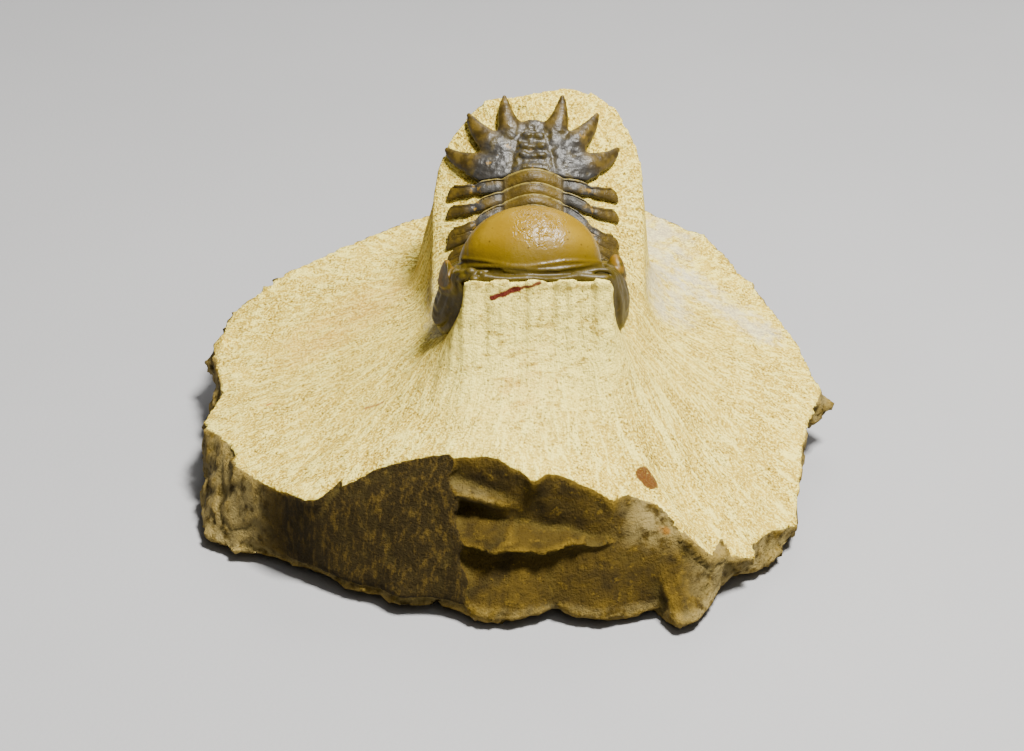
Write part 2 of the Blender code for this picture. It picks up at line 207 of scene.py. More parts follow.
def facets(points: Array, size: float, seed: int) -> Array:
    """The steps and tilted flats of a broken face.

    Each point takes the height of the tilted flat that its nearest random centre carries.

    Args:
        points: Where to read it, as rows of three.
        size: How wide the flats are.
        seed: Picks another pattern.

    Returns:
        One height a point, from about -1 to 1.
    """
    scaled = points / size
    base = np.floor(scaled).astype(np.int64)
    nearest = np.full(len(points), 1e9)
    height = np.zeros(len(points))
    for corner in np.ndindex(3, 3, 3):
        cell = base + np.array(corner) - 1
        centre = cell + 0.5 + 0.45 * np.stack([lattice(cell, seed + k) for k in range(3)], axis=1)
        offset = scaled - centre
        distance = (offset**2).sum(axis=1)
        closer = distance < nearest
        tilt = np.stack([lattice(cell, seed + 5 + k) for k in range(3)], axis=1)
        level = 0.6 * lattice(cell, seed + 9) + 0.9 * (offset * tilt).sum(axis=1)
        height = np.where(closer, level, height)
        nearest = np.where(closer, distance, nearest)
    return height


# ---- skins ----

CUBE = [(i, j, k) for i in (0, 1) for j in (0, 1) for k in (0, 1)]
CUBE_EDGES = [(a, b) for a in range(8) for b in range(a + 1, 8)
              if sum(abs(CUBE[a][k] - CUBE[b][k]) for k in range(3)) == 1]


def skin(values: Array, origin: Array, step: Sequence[float]) -> tuple[Array, Array]:
    """The closed skin where a sampled field passes through zero.

    Args:
        values: The field on a box of samples, negative inside, positive on the box's outside.
        origin: The first sample's place.
        step: The distance between samples along each axis.

    Returns:
        The skin's points, and its faces as rows of four point numbers.
    """
    inside = values < 0
    shape = np.array(values.shape) - 1
    corner_in = [inside[i:i + shape[0], j:j + shape[1], k:k + shape[2]] for i, j, k in CUBE]
    count = sum(c.astype(np.int8) for c in corner_in)
    cells = np.argwhere((count > 0) & (count < 8))
    number = np.full(shape, -1, np.int64)
    number[tuple(cells.T)] = np.arange(len(cells))
    corners = [values[tuple((cells + np.array(c)).T)] for c in CUBE]
    total = np.zeros((len(cells), 3))
    hits = np.zeros(len(cells))
    for a, b in CUBE_EDGES:
        crossing = (corners[a] < 0) != (corners[b] < 0)
        share = np.where(crossing, corners[a] / np.where(crossing, corners[a] - corners[b], 1.0), 0.0)
        start, end = np.array(CUBE[a], float), np.array(CUBE[b], float)
        total += np.where(crossing[:, None], start + share[:, None] * (end - start), 0.0)
        hits += crossing
    points = origin + (cells + total / hits[:, None]) * np.asarray(step, float)
    faces = []
    for axis in range(3):
        ahead = np.roll(inside, -1, axis)
        crossing = np.argwhere(inside != ahead)
        crossing = crossing[crossing[:, axis] < values.shape[axis] - 1]
        others = [k for k in range(3) if k != axis]
        crossing = crossing[(crossing[:, others] > 0).all(axis=1)]
        crossing = crossing[(crossing[:, others] < shape[others]).all(axis=1)]
        ring = []
        for u, v in ((1, 1), (0, 1), (0, 0), (1, 0)):
            cell = crossing.copy()
            cell[:, others[0]] -= u
            cell[:, others[1]] -= v
            ring.append(number[tuple(cell.T)])
        quad = np.stack(ring, axis=1)
        flip = inside[tuple(crossing.T)] == (axis == 1)
        quad[flip] = quad[flip][:, ::-1]
        faces.append(quad)
    return points, np.concatenate(faces)


def point_normals(points: Array, faces: Array) -> Array:
    """The outward direction at each point of a skin of quads.

    Args:
        points: The skin's points.
        faces: Rows of four point numbers.

    Returns:
        One unit vector a point.
    """
    cross = np.cross(points[faces[:, 2]] - points[faces[:, 0]], points[faces[:, 3]] - points[faces[:, 1]])
    normals = np.zeros_like(points)
    for k in range(4):
        np.add.at(normals, faces[:, k], cross)
    return normals / (np.linalg.norm(normals, axis=1, keepdims=True) + 1e-12)


def relaxed(points: Array, faces: Array, share: float) -> Array:
    """Move each point part of the way to the middle of its neighbours.

    Args:
        points: The skin's points.
        faces: Rows of four point numbers.
        share: How far to move, from 0 to 1.

    Returns:
        The moved points.
    """
    total = np.zeros_like(points)
    count = np.zeros(len(points))
    for k in range(4):
        here, there = faces[:, k], faces[:, (k + 1) % 4]
        np.add.at(total, here, points[there])
        np.add.at(total, there, points[here])
        np.add.at(count, here, 1)
        np.add.at(count, there, 1)
    return points + share * (total / np.maximum(count, 1)[:, None] - points)


def hollows(mesh: bpy.types.Mesh, rounds: int) -> Array:
    """How far each point lies below the surface smoothed round it.

    Args:
        mesh: The mesh, in metres.
        rounds: How many times the surface is smoothed.

    Returns:
        Millimetres, more than 0 in grooves and less on edges, one a point.
    """
    points = np.empty(len(mesh.vertices) * 3, np.float32)
    mesh.vertices.foreach_get("co", points)
    normals = np.empty_like(points)
    mesh.vertex_normals.foreach_get("vector", normals)
    ends = np.empty(len(mesh.edges) * 2, np.int32)
    mesh.edges.foreach_get("vertices", ends)
    points = points.reshape(-1, 3) / MM
    here, there = np.concatenate([ends.reshape(-1, 2), ends.reshape(-1, 2)[:, ::-1]]).T
    count = np.bincount(here, minlength=len(points))[:, None]
    smooth = points
    for _ in range(rounds):
        sums = [np.bincount(here, smooth[there, axis], len(points)) for axis in range(3)]
        smooth = 0.3 * smooth + 0.7 * np.stack(sums, axis=1) / count
    return ((smooth - points) * normals.reshape(-1, 3)).sum(axis=1)


def new_piece(name: str, points: Array, faces: Array | list[list[int]], marks: dict[str, Array],
              grooves: tuple[int, float]) -> bpy.types.Object:
    """Make a smooth-shaded object from a skin.

    Besides the marks given, each point carries hollow, 1 in a deep groove, and edge, 1 on a
    sharp edge.

    Args:
        name: The object's name.
        points: The skin's points, in millimetres.
        faces: Rows of point numbers.
        marks: Named values for the finish, one number or one vector a point.
        grooves: How many times the skin is smoothed to find its grooves, and how deep a deep one is.

    Returns:
        The object, linked to the scene.
    """
    mesh = bpy.data.meshes.new(name)
    mesh.from_pydata((points * MM).tolist(), [], faces if isinstance(faces, list) else faces.tolist())
    mesh.validate()
    rounds, deep = grooves
    depth = hollows(mesh, rounds) / deep
    for mark, values in {**marks, "hollow": np.clip(depth, 0, 1), "edge": np.clip(-depth, 0, 1)}.items():
        kind, field_name = ("FLOAT", "value") if values.ndim == 1 else ("FLOAT_VECTOR", "vector")
        attribute = mesh.attributes.new(mark, kind, "POINT")
        attribute.data.foreach_set(field_name, values.astype(np.float32).ravel())
    mesh.shade_smooth()
    piece = bpy.data.objects.new(name, mesh)
    bpy.context.scene.collection.objects.link(piece)
    return piece


class Slot(Enum):
    """The record's material slots."""

    ROCK = "limestone"
    HEAD = "head_shell"
    RIBS = "body_shell"
    TAIL = "tail_shell"


def settle(piece: bpy.types.Object, finish: bpy.types.Material, node: str) -> None:
    """Dress a piece and put it in the frame.

    Args:
        piece: The finished object.
        finish: Its material.
        node: The solid that it stands for.
    """
    piece.data.materials.append(finish)
    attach(piece, "root")
    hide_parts(node)
    log.info("%s: %d faces", piece.name, len(piece.data.polygons))


# ---- the animal's measure ----


@dataclass(frozen=True)
class Body:
    """The trilobite's midline and the arch of its underside, in millimetres.

    It sags behind the head and rises to the tail. All plates and the rock below them are laid
    out on it.
    """

    middle_x: float = 3.6
    front_y: float = -15.0
    front_z: float = 46.0
    head_slope: float = math.radians(-20)
    tail_slope: float = math.radians(42)
    bend_start: float = 10.0
    bend_end: float = 38.0
    head_length: float = 16.0
    segment_count: int = 11
    first_pitch: float = 1.5
    last_pitch: float = 2.45
    axis_half: float = 5.2
    first_bow: float = 0.4
    last_bow: float = 0.9
    bed_past_tail: float = 15.0
    head_flat: float = 11.0
    cheek_reach: float = 5.4
    cheek_drop: float = 10.0
    cheek_arc: float = 12.0
    rib_reach: float = 15.0
    first_rib_drop: float = 7.0
    last_rib_drop: float = 3.4
    rib_drop_settles: float = 34.0

    @property
    def tail_start(self) -> float:
        """Distance along the body at which the tail shield starts."""
        return self.head_length + self.segment_count * (self.first_pitch + self.last_pitch) / 2

    @property
    def bed_end(self) -> float:
        """Distance along the body at which the rock bed ends."""
        return self.tail_start + self.bed_past_tail

    def segment_span(self, number: int) -> tuple[float, float]:
        """Where a thorax segment starts along the body, and its length."""
        growth = (self.last_pitch - self.first_pitch) / (self.segment_count - 1)
        before = number - 1
        start = self.head_length + before * (self.first_pitch + growth * (before - 1) / 2)
        return start, self.first_pitch + growth * before

    def axis_bow(self, share: float, out: Array) -> Array:
        """How far the shell bows back over the axis, for a share of the thorax's length."""
        bow = self.first_bow + (self.last_bow - self.first_bow) * share
        return bow * np.clip(1 - (out / self.axis_half) ** 2, 0, 1)

    def midline(self) -> tuple[Array, Array, Array, Array]:
        """The midline as samples.

        Returns:
            Distance along, slope, Y and Z of each sample.
        """
        along = np.linspace(0.0, self.bed_end + 4, 400)
        step = along[1] - along[0]
        turned = soft_step(along, self.bend_start, self.bend_end)
        slope = self.head_slope + (self.tail_slope - self.head_slope) * turned
        y = self.front_y + np.concatenate([[0.0], np.cumsum(np.cos(slope[:-1])) * step])
        z = self.front_z + np.concatenate([[0.0], np.cumsum(np.sin(slope[:-1])) * step])
        return along, slope, y, z

    def place(self, along: Array, out: Array, height: Array) -> Array:
        """Bend body coordinates into the frame.

        Args:
            along: Distance along the body.
            out: Distance to the side of the midline.
            height: Height off the midline, square to it.

        Returns:
            Points in the frame, as rows of three.
        """
        line, slopes, ys, zs = self.midline()
        slope = np.interp(along, line, slopes)
        ahead = np.minimum(along, 0.0)
        behind = np.maximum(along - line[-1], 0.0)
        first, last = self.head_slope, self.tail_slope
        y = np.interp(along, line, ys) + ahead * math.cos(first) + behind * math.cos(last)
        z = np.interp(along, line, zs) + ahead * math.sin(first) + behind * math.sin(last)
        y = y - np.sin(slope) * height
        z = z + np.cos(slope) * height
        return np.stack([self.middle_x + out, y, z], axis=-1)

    def head_bed(self, out: Array) -> Array:
        """Height of the head's underside at an offset to the side."""
        share = np.clip((np.abs(out) - self.head_flat) / self.cheek_reach, 0.0, 1.0)
        return -self.cheek_drop * share ** (1.8 / 0.7)

    def body_bed(self, along: Array, out: Array) -> Array:
        """Height of the underside behind the head: an arch, flat near the axis."""
        settle_share = soft_step(along, self.head_length, self.rib_drop_settles)
        drop = self.first_rib_drop + (self.last_rib_drop - self.first_rib_drop) * settle_share
        share = np.clip((np.abs(out) - 5.0) / (self.rib_reach - 5.0), 0.0, 1.6)
        return -drop * share**1.7

    def place_body(self, along: Array, out: Array, height: Array) -> Array:
        """Bend body coordinates into the frame, with height measured off the bed."""
        return self.place(along, out, self.body_bed(along, out) + height)

    def bed_height(self, along: Array, out: Array) -> Array:
        """The rock bed, clear of the head and of the body where they meet."""
        head, body = self.head_bed(out), self.body_bed(along, out)
        to_joint = soft_step(along, self.head_length - 6, self.head_length - 1)
        past_joint = soft_step(along, self.head_length + 0.5, self.head_length + 4)
        lower = np.minimum(head, body)
        return (1 - to_joint) * head + (to_joint - past_joint) * lower + past_joint * body

    def bed_table(self) -> tuple[Array, Array, Array]:
        """The rock bed's height in the frame on a grid.

        Returns:
            The grid's Y values, its offsets, and the heights by Y and offset.
        """
        ys = np.arange(-22.0, 62.0, 0.25)
        outs = np.arange(-24.0, 24.01, 0.5)
        along = np.linspace(-4.0, self.bed_end, 300)
        table = np.empty((len(ys), len(outs)))
        for column, out in enumerate(outs):
            side = np.full_like(along, out)
            line = self.place(along, side, self.bed_height(along, side))
            table[:, column] = np.interp(ys, line[:, 1], line[:, 2])
        return ys, outs, table


BODY = Body()


# ---- the rock ----


def halved_where(points: Array, faces: Array, chosen: Array) -> tuple[Array, list[list[int]]]:
    """Split chosen faces of a skin into four, keeping it closed.

    Args:
        points: The skin's points.
        faces: Rows of four point numbers.
        chosen: Which faces to split.

    Returns:
        The points with the new ones added, and all faces as lists of point numbers.
    """
    sides = np.sort(np.stack([faces, np.roll(faces, -1, axis=1)], axis=2), axis=2)
    split_sides = np.unique(sides[chosen].reshape(-1, 2), axis=0)
    keys = split_sides[:, 0] * len(points) + split_sides[:, 1]
    middle_of = dict(zip(keys.tolist(), range(len(points), len(points) + len(keys))))
    middles = points[split_sides].mean(axis=1)
    centres = points[faces[chosen]].mean(axis=1)
    side_keys = sides[..., 0] * len(points) + sides[..., 1]
    result = []
    first_centre = len(points) + len(keys)
    for number, (face, side) in enumerate(zip(faces[chosen].tolist(), side_keys[chosen].tolist())):
        mids = [middle_of[key] for key in side]
        result += [[face[k], mids[k], first_centre + number, mids[k - 1]] for k in range(4)]
    for face, side in zip(faces[~chosen].tolist(), side_keys[~chosen].tolist()):
        ring = []
        for corner, key in zip(face, side):
            ring.append(corner)
            if key in middle_of:
                ring.append(middle_of[key])
        result.append(ring)
    return np.concatenate([points, middles, centres]), result


@dataclass
class Scar:
    """An ellipsoid knocked out of the rock, or a lump left on it.

    Args:
        middle: Its centre.
        radii: Its half axes.
        turn: How far it is turned about the upright, in degrees.
        angular: Whether it has eight flat sides.
    """

    middle: Place
    radii: Place
    turn: float = 0.0
    angular: bool = False

    def distance(self, x: Array, y: Array, z: Array) -> Array:
        """Distance to its surface, negative inside."""
        turn = math.radians(self.turn)
        across, deep = x - self.middle[0], y - self.middle[1]
        along = across * math.cos(turn) + deep * math.sin(turn)
        out = -across * math.sin(turn) + deep * math.cos(turn)
        up = z - self.middle[2]
        if self.angular:
            a, b, c = self.radii
            share = np.abs(along) / a + np.abs(out) / b + np.abs(up) / c
            return (share - 1) / math.hypot(1 / a, 1 / b, 1 / c)
        return ellipsoid(along, out, up, self.radii)


@dataclass
class LimestoneBlock:
    """The block: a broken slab, ground on top into a hollow-sided hill that carries a steep ridge.

    The rim, the foot and the hill's top go round from the front, in millimetres.
    """

    body: Body
    centre: tuple[float, float] = (0.0, 6.0)
    rim: tuple[Place, ...] = (
        (-2, -36, 26), (5, -37.5, 24.5), (13, -38.5, 21), (20, -38, 18), (27, -39, 15),
        (33, -39, 8.5), (39, -37, 6),
        (46, -26, 5.5), (48.5, -15, 8), (49.5, -6, 10.5), (54, 8, 12), (51.5, 22, 14), (45, 36, 17),
        (36, 48, 22.5), (22, 55, 26), (0, 55, 26), (-18, 50, 25), (-32, 45, 21.5), (-42, 40.5, 18.5),
        (-51, 34, 14), (-53.5, 24, 12), (-51, 8, 12), (-54, -3, 12), (-51, -13, 13),
        (-45, -22, 14), (-37, -31, 16), (-27, -29.5, 20), (-18, -31.5, 23), (-9, -34.5, 25.5),
    )
    front_edge: tuple[Place, ...] = (
        (-53, -3, 12.3), (-49, -9, 13.5), (-46.7, -14.5, 14), (-45, -20, 14), (-40.5, -26.5, 15),
        (-37.5, -30, 16), (-33, -33.5, 16.5), (-30.5, -34, 17), (-27.5, -33, 18.7), (-26.5, -31, 19.7),
        (-22, -32, 21), (-20, -32, 22), (-16, -32.5, 23.5), (-10, -34, 25), (-9.3, -35, 25),
        (-4, -35.5, 26), (0, -37.5, 25), (1.5, -38, 24.5), (3.4, -39.8, 23.4), (5.5, -38, 24),
        (7.5, -37.5, 23.4), (11, -38, 22), (16, -39, 19.3), (18.5, -36.5, 19), (23, -36.3, 17.4),
        (24.6, -37.2, 16.5), (26.5, -40, 14.5), (29, -40, 12.6), (31.5, -39.6, 10), (34.6, -37.2, 8.3),
        (38.7, -33, 7.4), (39.5, -35.5, 6.2), (42.4, -28.2, 6.7), (46.7, -24.6, 5.5),
    )
    right_edge: tuple[Place, ...] = ((48.5, -15, 8), (49.5, -6, 10.5))
    front_edge_end: float = -3.0
    smoothing: int = 16
    foot: tuple[Place, ...] = (
        (-18, -43, 2), (-11, -42.5, 2), (-7.5, -44, 2), (0, -46, 2), (6.5, -43, 2.5), (14.5, -46.3, 2),
        (21, -44.5, 2), (24, -43.5, 2), (26.3, -48.2, 2), (29.5, -47.2, 2), (34, -37.5, 2), (37, -33.5, 2),
        (40, -32.5, 2), (47, -24, 2.5), (47.6, -20, 3), (48, -15, 3.5), (49, -7, 4), (51, 8, 4),
        (50, 24, 4), (42, 40, 4), (24, 54, 3), (0, 57, 3), (-24, 52, 3), (-44, 42, 4), (-53, 26, 4),
        (-53, 6, 4), (-54, -4, 4), (-52.5, -10, 3), (-51.8, -19, 2.5), (-51, -23, 2), (-46, -27.5, 2),
        (-39.5, -28.5, 2), (-35.5, -31, 2), (-30.5, -34, 2), (-26, -38, 2), (-21, -39.5, 2),
    )
    hill_top: tuple[Place, ...] = (
        (3.6, -18.5, 35.5), (12, -17.5, 35), (18, -13, 33.5), (20, -5, 30), (22, 4, 27.5),
        (23, 20, 26), (23, 34, 26), (16, 42, 27), (3.6, 44, 27.5), (-9, 42, 27), (-14.5, 34, 26.5),
        (-14.5, 20, 26), (-14, 4, 27.5), (-12.5, -5, 30), (-11, -13, 33.5), (-5, -17.5, 35),
    )
    sole_inset: float = 5.0
    sag: float = 0.07
    fillet: float = 4.0
    pillar_half_width: float = 11.9
    ridge_half_width: float = 18.4
    ridge_shift: float = 1.0
    ridge_back: tuple[float, float] = (32.0, 35.3)
    wall_lean: float = 2.6
    bed_clearance: float = 0.12
    coarse: float = 0.7
    sampled: tuple[Place, Place] = ((-59.2, -51.1, -1.05), (58.0, 60.0, 61.5))
    fine: tuple[Place, Place] = ((-15.8, -20.0, 33.5), (24.2, 41.0, 61.5))
    front_step: tuple[float, float] = (-9.8, 0.125)
    lumps: tuple[Scar, ...] = (
        Scar((52.6, 9.0, 8.2), (4.4, 5.5, 5.0), 0, True),
        Scar((-52.0, 24.0, 9.0), (4.2, 6.0, 6.0), 0, True),
    )
    bites: tuple[Scar, ...] = (
        Scar((36.5, -42.0, 9.5), (8.0, 7.0, 5.5), 25, True),
        Scar((-50.5, -22.0, 9.8), (3.6, 4.4, 4.2), -25),
        Scar((-46.5, -28.5, 11.5), (5.5, 3.2, 6.5), 10, True),
        Scar((-57.0, -12.0, 13.0), (4.0, 4.5, 6.5)),
    )

    def __post_init__(self) -> None:
        """Read the outlines by direction, and the plates' bed, once."""
        behind = tuple(place for place in self.rim if place[1] > self.front_edge_end)
        edge = self.front_edge + self.right_edge + behind
        drawn = {"rim": self.rim, "foot": self.foot, "hill_top": self.hill_top, "edge": edge}
        self.outlines = {name: self.by_direction(places) for name, places in drawn.items()}
        for name in ("edge", "foot"):
            direction, reach, z = self.outlines[name]
            self.outlines["smooth_" + name] = direction, self.averaged(reach, self.smoothing), z
        self.bed = self.body.bed_table()

    def by_direction(self, places: Sequence[Place]) -> tuple[Array, Array, Array]:
        """Read a closed outline by direction from the block's centre.

        Args:
            places: The outline's points.

        Returns:
            Directions in radians, and the distance and height at each.
        """
        points = np.array(places, float)
        angle = np.arctan2(points[:, 1] - self.centre[1], points[:, 0] - self.centre[0])
        points = points[np.argsort(angle)]
        angle = np.sort(angle)
        wanted = np.linspace(-math.pi, math.pi, 720, endpoint=False)
        x, y, z = (np.interp(wanted, angle, points[:, axis], period=math.tau) for axis in range(3))
        return wanted, np.hypot(x - self.centre[0], y - self.centre[1]), z

    def averaged(self, reach: Array, width: int) -> Array:
        """A closed outline's distances, each averaged with this many on both sides."""
        weights = np.hanning(2 * width + 3)[1:-1]
        padded = np.concatenate([reach[-width:], reach, reach[:width]])
        return np.convolve(padded, weights / weights.sum(), "valid")

    def read_outline(self, name: str, direction: Array) -> tuple[Array, Array]:
        """Distance and height of an outline in each direction."""
        angle, reach, z = self.outlines[name]
        reach, z = (np.interp(direction, angle, line, period=math.tau) for line in (reach, z))
        return reach, z

    def bed_z(self, x: Array, y: Array) -> Array:
        """Height of the plates' bed over the floor at each place."""
        ys, outs, table = self.bed
        row = np.clip((y - ys[0]) / (ys[1] - ys[0]), 0, len(ys) - 1.001)
        column = np.clip((x - self.body.middle_x - outs[0]) / (outs[1] - outs[0]), 0, len(outs) - 1.001)
        i, j = row.astype(int), column.astype(int)
        u, v = row - i, column - j
        low = table[i, j] * (1 - v) + table[i, j + 1] * v
        high = table[i + 1, j] * (1 - v) + table[i + 1, j + 1] * v
        return low * (1 - u) + high * u

    def front_relief(self, x: Array, z: Array) -> Array:
        """How far the broken front stands out from its plain slope.

        The left is one flat joint face. To its right the rock broke back to a hollow, with a
        sloping shelf and its lip below, and a shell-like hollow under the lip.

        Args:
            x: Place across the front.
            z: Height over the floor.

        Returns:
            Millimetres outward.
        """
        past = x - self.step_x(z)
        right = soft_step(past, -0.25, 0.35)
        below_edge = 25.2 + 0.3 * np.minimum(x + 9, 0) - z
        joint_face = 1.1 * (1 - right) * soft_step(x, -46, -30) * soft_step(below_edge, -0.5, 5.0)
        joint_face = joint_face * soft_step(z, 3.0, 4.0)
        fade = soft_step(past, 30, 12)
        groove_z = 16.9 - 0.15 * past + 0.25 * np.sin(x * 0.9)
        lip_z = 12.6 + 0.3 * np.sin(x * 0.7 + 1.0) + 0.12 * np.maximum(past - 12, 0)
        upper = -2.6 * np.clip((24.5 - z) / (24.5 - groove_z), 0, 1.1)
        crest_z = 20.6 - 0.25 * past
        wedge = np.clip(1.0 - np.abs(z - crest_z) / np.where(z > crest_z, 1.1, 3.4), 0, 1)
        wedge = 3.4 * wedge * np.clip(1 - past / 10.5, 0, 1)
        lens = -0.9 * bump(past, 2.6, 3.8) * bump(z, groove_z + 0.5, 1.3)
        ledge = -2.9 + 4.7 * np.clip((groove_z - z) / (groove_z - lip_z), 0, 1)
        under = 1.8 - 3.0 * np.clip((lip_z - z) / 1.1, 0, 1) + 2.2 * soft_step(z, lip_z - 2.0, 3.0)
        face = np.where(z > groove_z, upper + wedge + lens, np.where(z > lip_z, ledge, under))
        return joint_face + right * fade * face

    def step_x(self, z: Array) -> Array:
        """Where the joint face ends, by height over the floor."""
        return self.front_step[0] + self.front_step[1] * (26 - z) + 0.5 * np.sin(z * 1.1)

    def hill(self, x: Array, y: Array, z: Array) -> tuple[Array, Array]:
        """The ground hill and the broken sides below it.

        Args:
            x: Place across.
            y: Place from front to back.
            z: Height.

        Returns:
            Distance from the ground top, and from the broken sides.
        """
        direction = np.arctan2(y - self.centre[1], x - self.centre[0])
        reach = np.hypot(x - self.centre[0], y - self.centre[1])
        rim_reach, rim_z = self.read_outline("rim", direction)
        foot_reach, foot_z = self.read_outline("foot", direction)
        top_reach, top_z = self.read_outline("hill_top", direction)
        share = np.clip((rim_reach - reach) / (rim_reach - top_reach), -0.25, 1.0)
        sag = self.sag * np.sin(math.pi * np.clip(share, 0, 1)) * (top_z - rim_z + 12)
        ground = (z - rim_z - (top_z - rim_z) * share + sag) * 0.88
        front = soft_step(-y, 14, 24)
        out = reach - front * self.front_relief(x, z)
        edge_reach, edge_z = self.read_outline("edge", direction)
        smooth_edge, _ = self.read_outline("smooth_edge", direction)
        smooth_foot, _ = self.read_outline("smooth_foot", direction)
        up = (z - foot_z) / (edge_z - foot_z)
        above = smooth_foot + (smooth_edge - smooth_foot) * np.clip(up, 0, 1.3)
        above = above + (edge_reach - smooth_edge) * soft_step(edge_z - z, 3.2, 0.3)
        above = above + (foot_reach - smooth_foot) * soft_step(z - foot_z, 7.0, 0.0)
        below = foot_reach - self.sole_inset * np.clip(1 - z / foot_z, 0, 2)
        broken = (out - np.where(up > 0, above, below)) * 0.93
        return ground, broken

    def ridge(self, x: Array, y: Array, z: Array) -> Array:
        """Distance from the steep ridge, whose top is the plates' bed."""
        out = x - self.body.middle_x
        top = self.bed_z(x, y) - self.bed_clearance
        around = np.hypot(out / 15.8, np.maximum(y - 21, 0) / 12.3)
        rim = 0.2 + (0.15 * bump(out, 8.6, 4.2) - 0.7 * bump(out, -1.0, 4.5)) * soft_step(y, 24, 32)
        top = top + rim * soft_step(around, 0.97, 1.12) * soft_step(y, 4, 16)
        top = top + 0.75 * soft_step(self.body.front_y - 0.35 - y, 0.0, 0.5)
        left_back, right_back = self.ridge_back
        back = left_back + (right_back - left_back) * soft_step(out, -9, 12)
        past = np.clip((y - back + 13) / 14, 0.0, 2.5)
        depth = top - z
        wide = soft_step(y, -6, 6)
        pillar = self.pillar_half_width + np.where(out < 0, 3.8, 2.0) * soft_step(depth, 2.5, 11.5)
        wall = self.ridge_half_width + self.wall_lean * soft_step(depth, 0.0, 16.0)
        width = pillar + (wall - pillar) * wide
        centre = 0.7 + (self.ridge_shift - 0.7 - 1.1 * soft_step(depth, 2.0, 14.0)) * wide
        side = (np.sqrt(((out - centre) / width) ** 2 + past**3 + 1e-9) - 1.0) * width * 0.92
        chipped = 0.25 * np.sin(x * 1.15 + 0.6) + 0.14 * np.sin(x * 2.9 + 2.0)
        front = (self.body.front_y - 1.25 - 0.3 * np.clip(45 - z, 0, 20)) - y + chipped
        flank = smooth_max(side, front * 0.95, 1.2 + 3.5 * soft_step(depth, 2, 9))
        return smooth_max(flank, z - top, 0.9)

    def distance(self, x: Array, y: Array, z: Array) -> Array:
        """Distance from the whole block, negative inside."""
        ground, broken = self.hill(x, y, z)
        rock = np.maximum(ground, broken)
        for lump in self.lumps:
            rock = smooth_min(rock, lump.distance(x, y, z), 1.5)
        rock = smooth_min(rock, self.ridge(x, y, z), self.fillet)
        for bite in self.bites:
            rock = np.maximum(rock, -bite.distance(x, y, z))
        return np.maximum(rock, -z)

    def skin(self) -> tuple[Array, list[list[int]]]:
        """The block's plain skin, finer round the fossil.

        Returns:
            Its points, and its faces as lists of point numbers.
        """
        low, high = np.array(self.sampled)
        count = np.ceil((high - low) / self.coarse).astype(int)
        x, y, z = (low[k] + self.coarse * np.arange(count[k]) for k in range(3))
        values = self.distance(x[:, None, None], y[None, :, None], z[None, None, :])
        points, faces = skin(values, low, (self.coarse,) * 3)
        middle = points[faces].mean(axis=1)
        low, high = np.array(self.fine)
        points, rings = halved_where(points, faces, ((middle > low) & (middle < high)).all(axis=1))
        for _ in range(3):
            points = self.onto_surface(points)
        return points, rings

    def onto_surface(self, points: Array) -> Array:
        """Move points along the field's slope onto its zero level."""
        here = self.distance(*points.T)
        slope = self.slope(points)
        shift = here / np.maximum((slope**2).sum(axis=1), 0.25)
        return points - np.clip(shift, -0.3, 0.3)[:, None] * slope

    def slope(self, points: Array) -> Array:
        """The field's slope at points."""
        reach = 0.12
        parts = []
        for axis in range(3):
            offset = np.zeros(3)
            offset[axis] = reach
            parts.append(self.distance(*(points + offset).T) - self.distance(*(points - offset).T))
        return np.stack(parts, axis=1) / (2 * reach)

    def worked(self, points: Array) -> dict[str, Array]:
        """What was done to the rock at each point.

        Args:
            points: Points of the skin.

        Returns:
            broken: 1 on broken faces and 0 on ground ones. joint: 1 on the dark joint face. pale: 1 where
            a broken face is pale. pillar: 1 on the pillar's front.
        """
        x, y, z = points.T
        ground, broken = self.hill(x, y, z)
        ridge = self.ridge(x, y, z)
        share = soft_step(broken - ground, -0.9, 0.9) * soft_step(ridge, 0.3, 1.5)
        for bite in self.bites:
            share = np.maximum(share, soft_step(np.abs(bite.distance(x, y, z)), 0.5, 0.2))
        past = x - self.step_x(z)
        joint = share * soft_step(past, 0.2, -0.2) * soft_step(x, -41, -33) * soft_step(y, -18, -24)
        joint = joint * soft_step(z, 3.0, 4.2)
        wedge = bump(z, 20.6 - 0.25 * past, 1.0) * soft_step(past, -0.5, 0.2) * soft_step(past, 8, 5)
        crumbly = soft_step(x, 15, 22) * soft_step(z, 10, 15)
        chips = soft_step(x, 26, 33) + soft_step(x, -38, -44)
        pale = 0.25 * wedge + 0.5 * crumbly + 0.45 * chips + 0.25 * soft_step(z, 4.2, 3.2)
        side = np.abs(x - self.body.middle_x)
        pillar = soft_step(y, -12.5, -15.2) * soft_step(z, 21, 36) * soft_step(side, 20, 11)
        return {"broken": share, "joint": joint, "pale": np.clip(pale, 0, 1), "pillar": pillar}

    def strokes(self, points: Array) -> Array:
        """Places squeezed so that noise read there runs in strokes away from the fossil."""
        across, deep = points[:, 0] - self.body.middle_x, points[:, 1] - 10
        reach = np.hypot(across, deep) + 1e-6
        return np.stack([across / reach * 26, deep / reach * 26, reach / 3 + points[:, 2] / 4], axis=1)

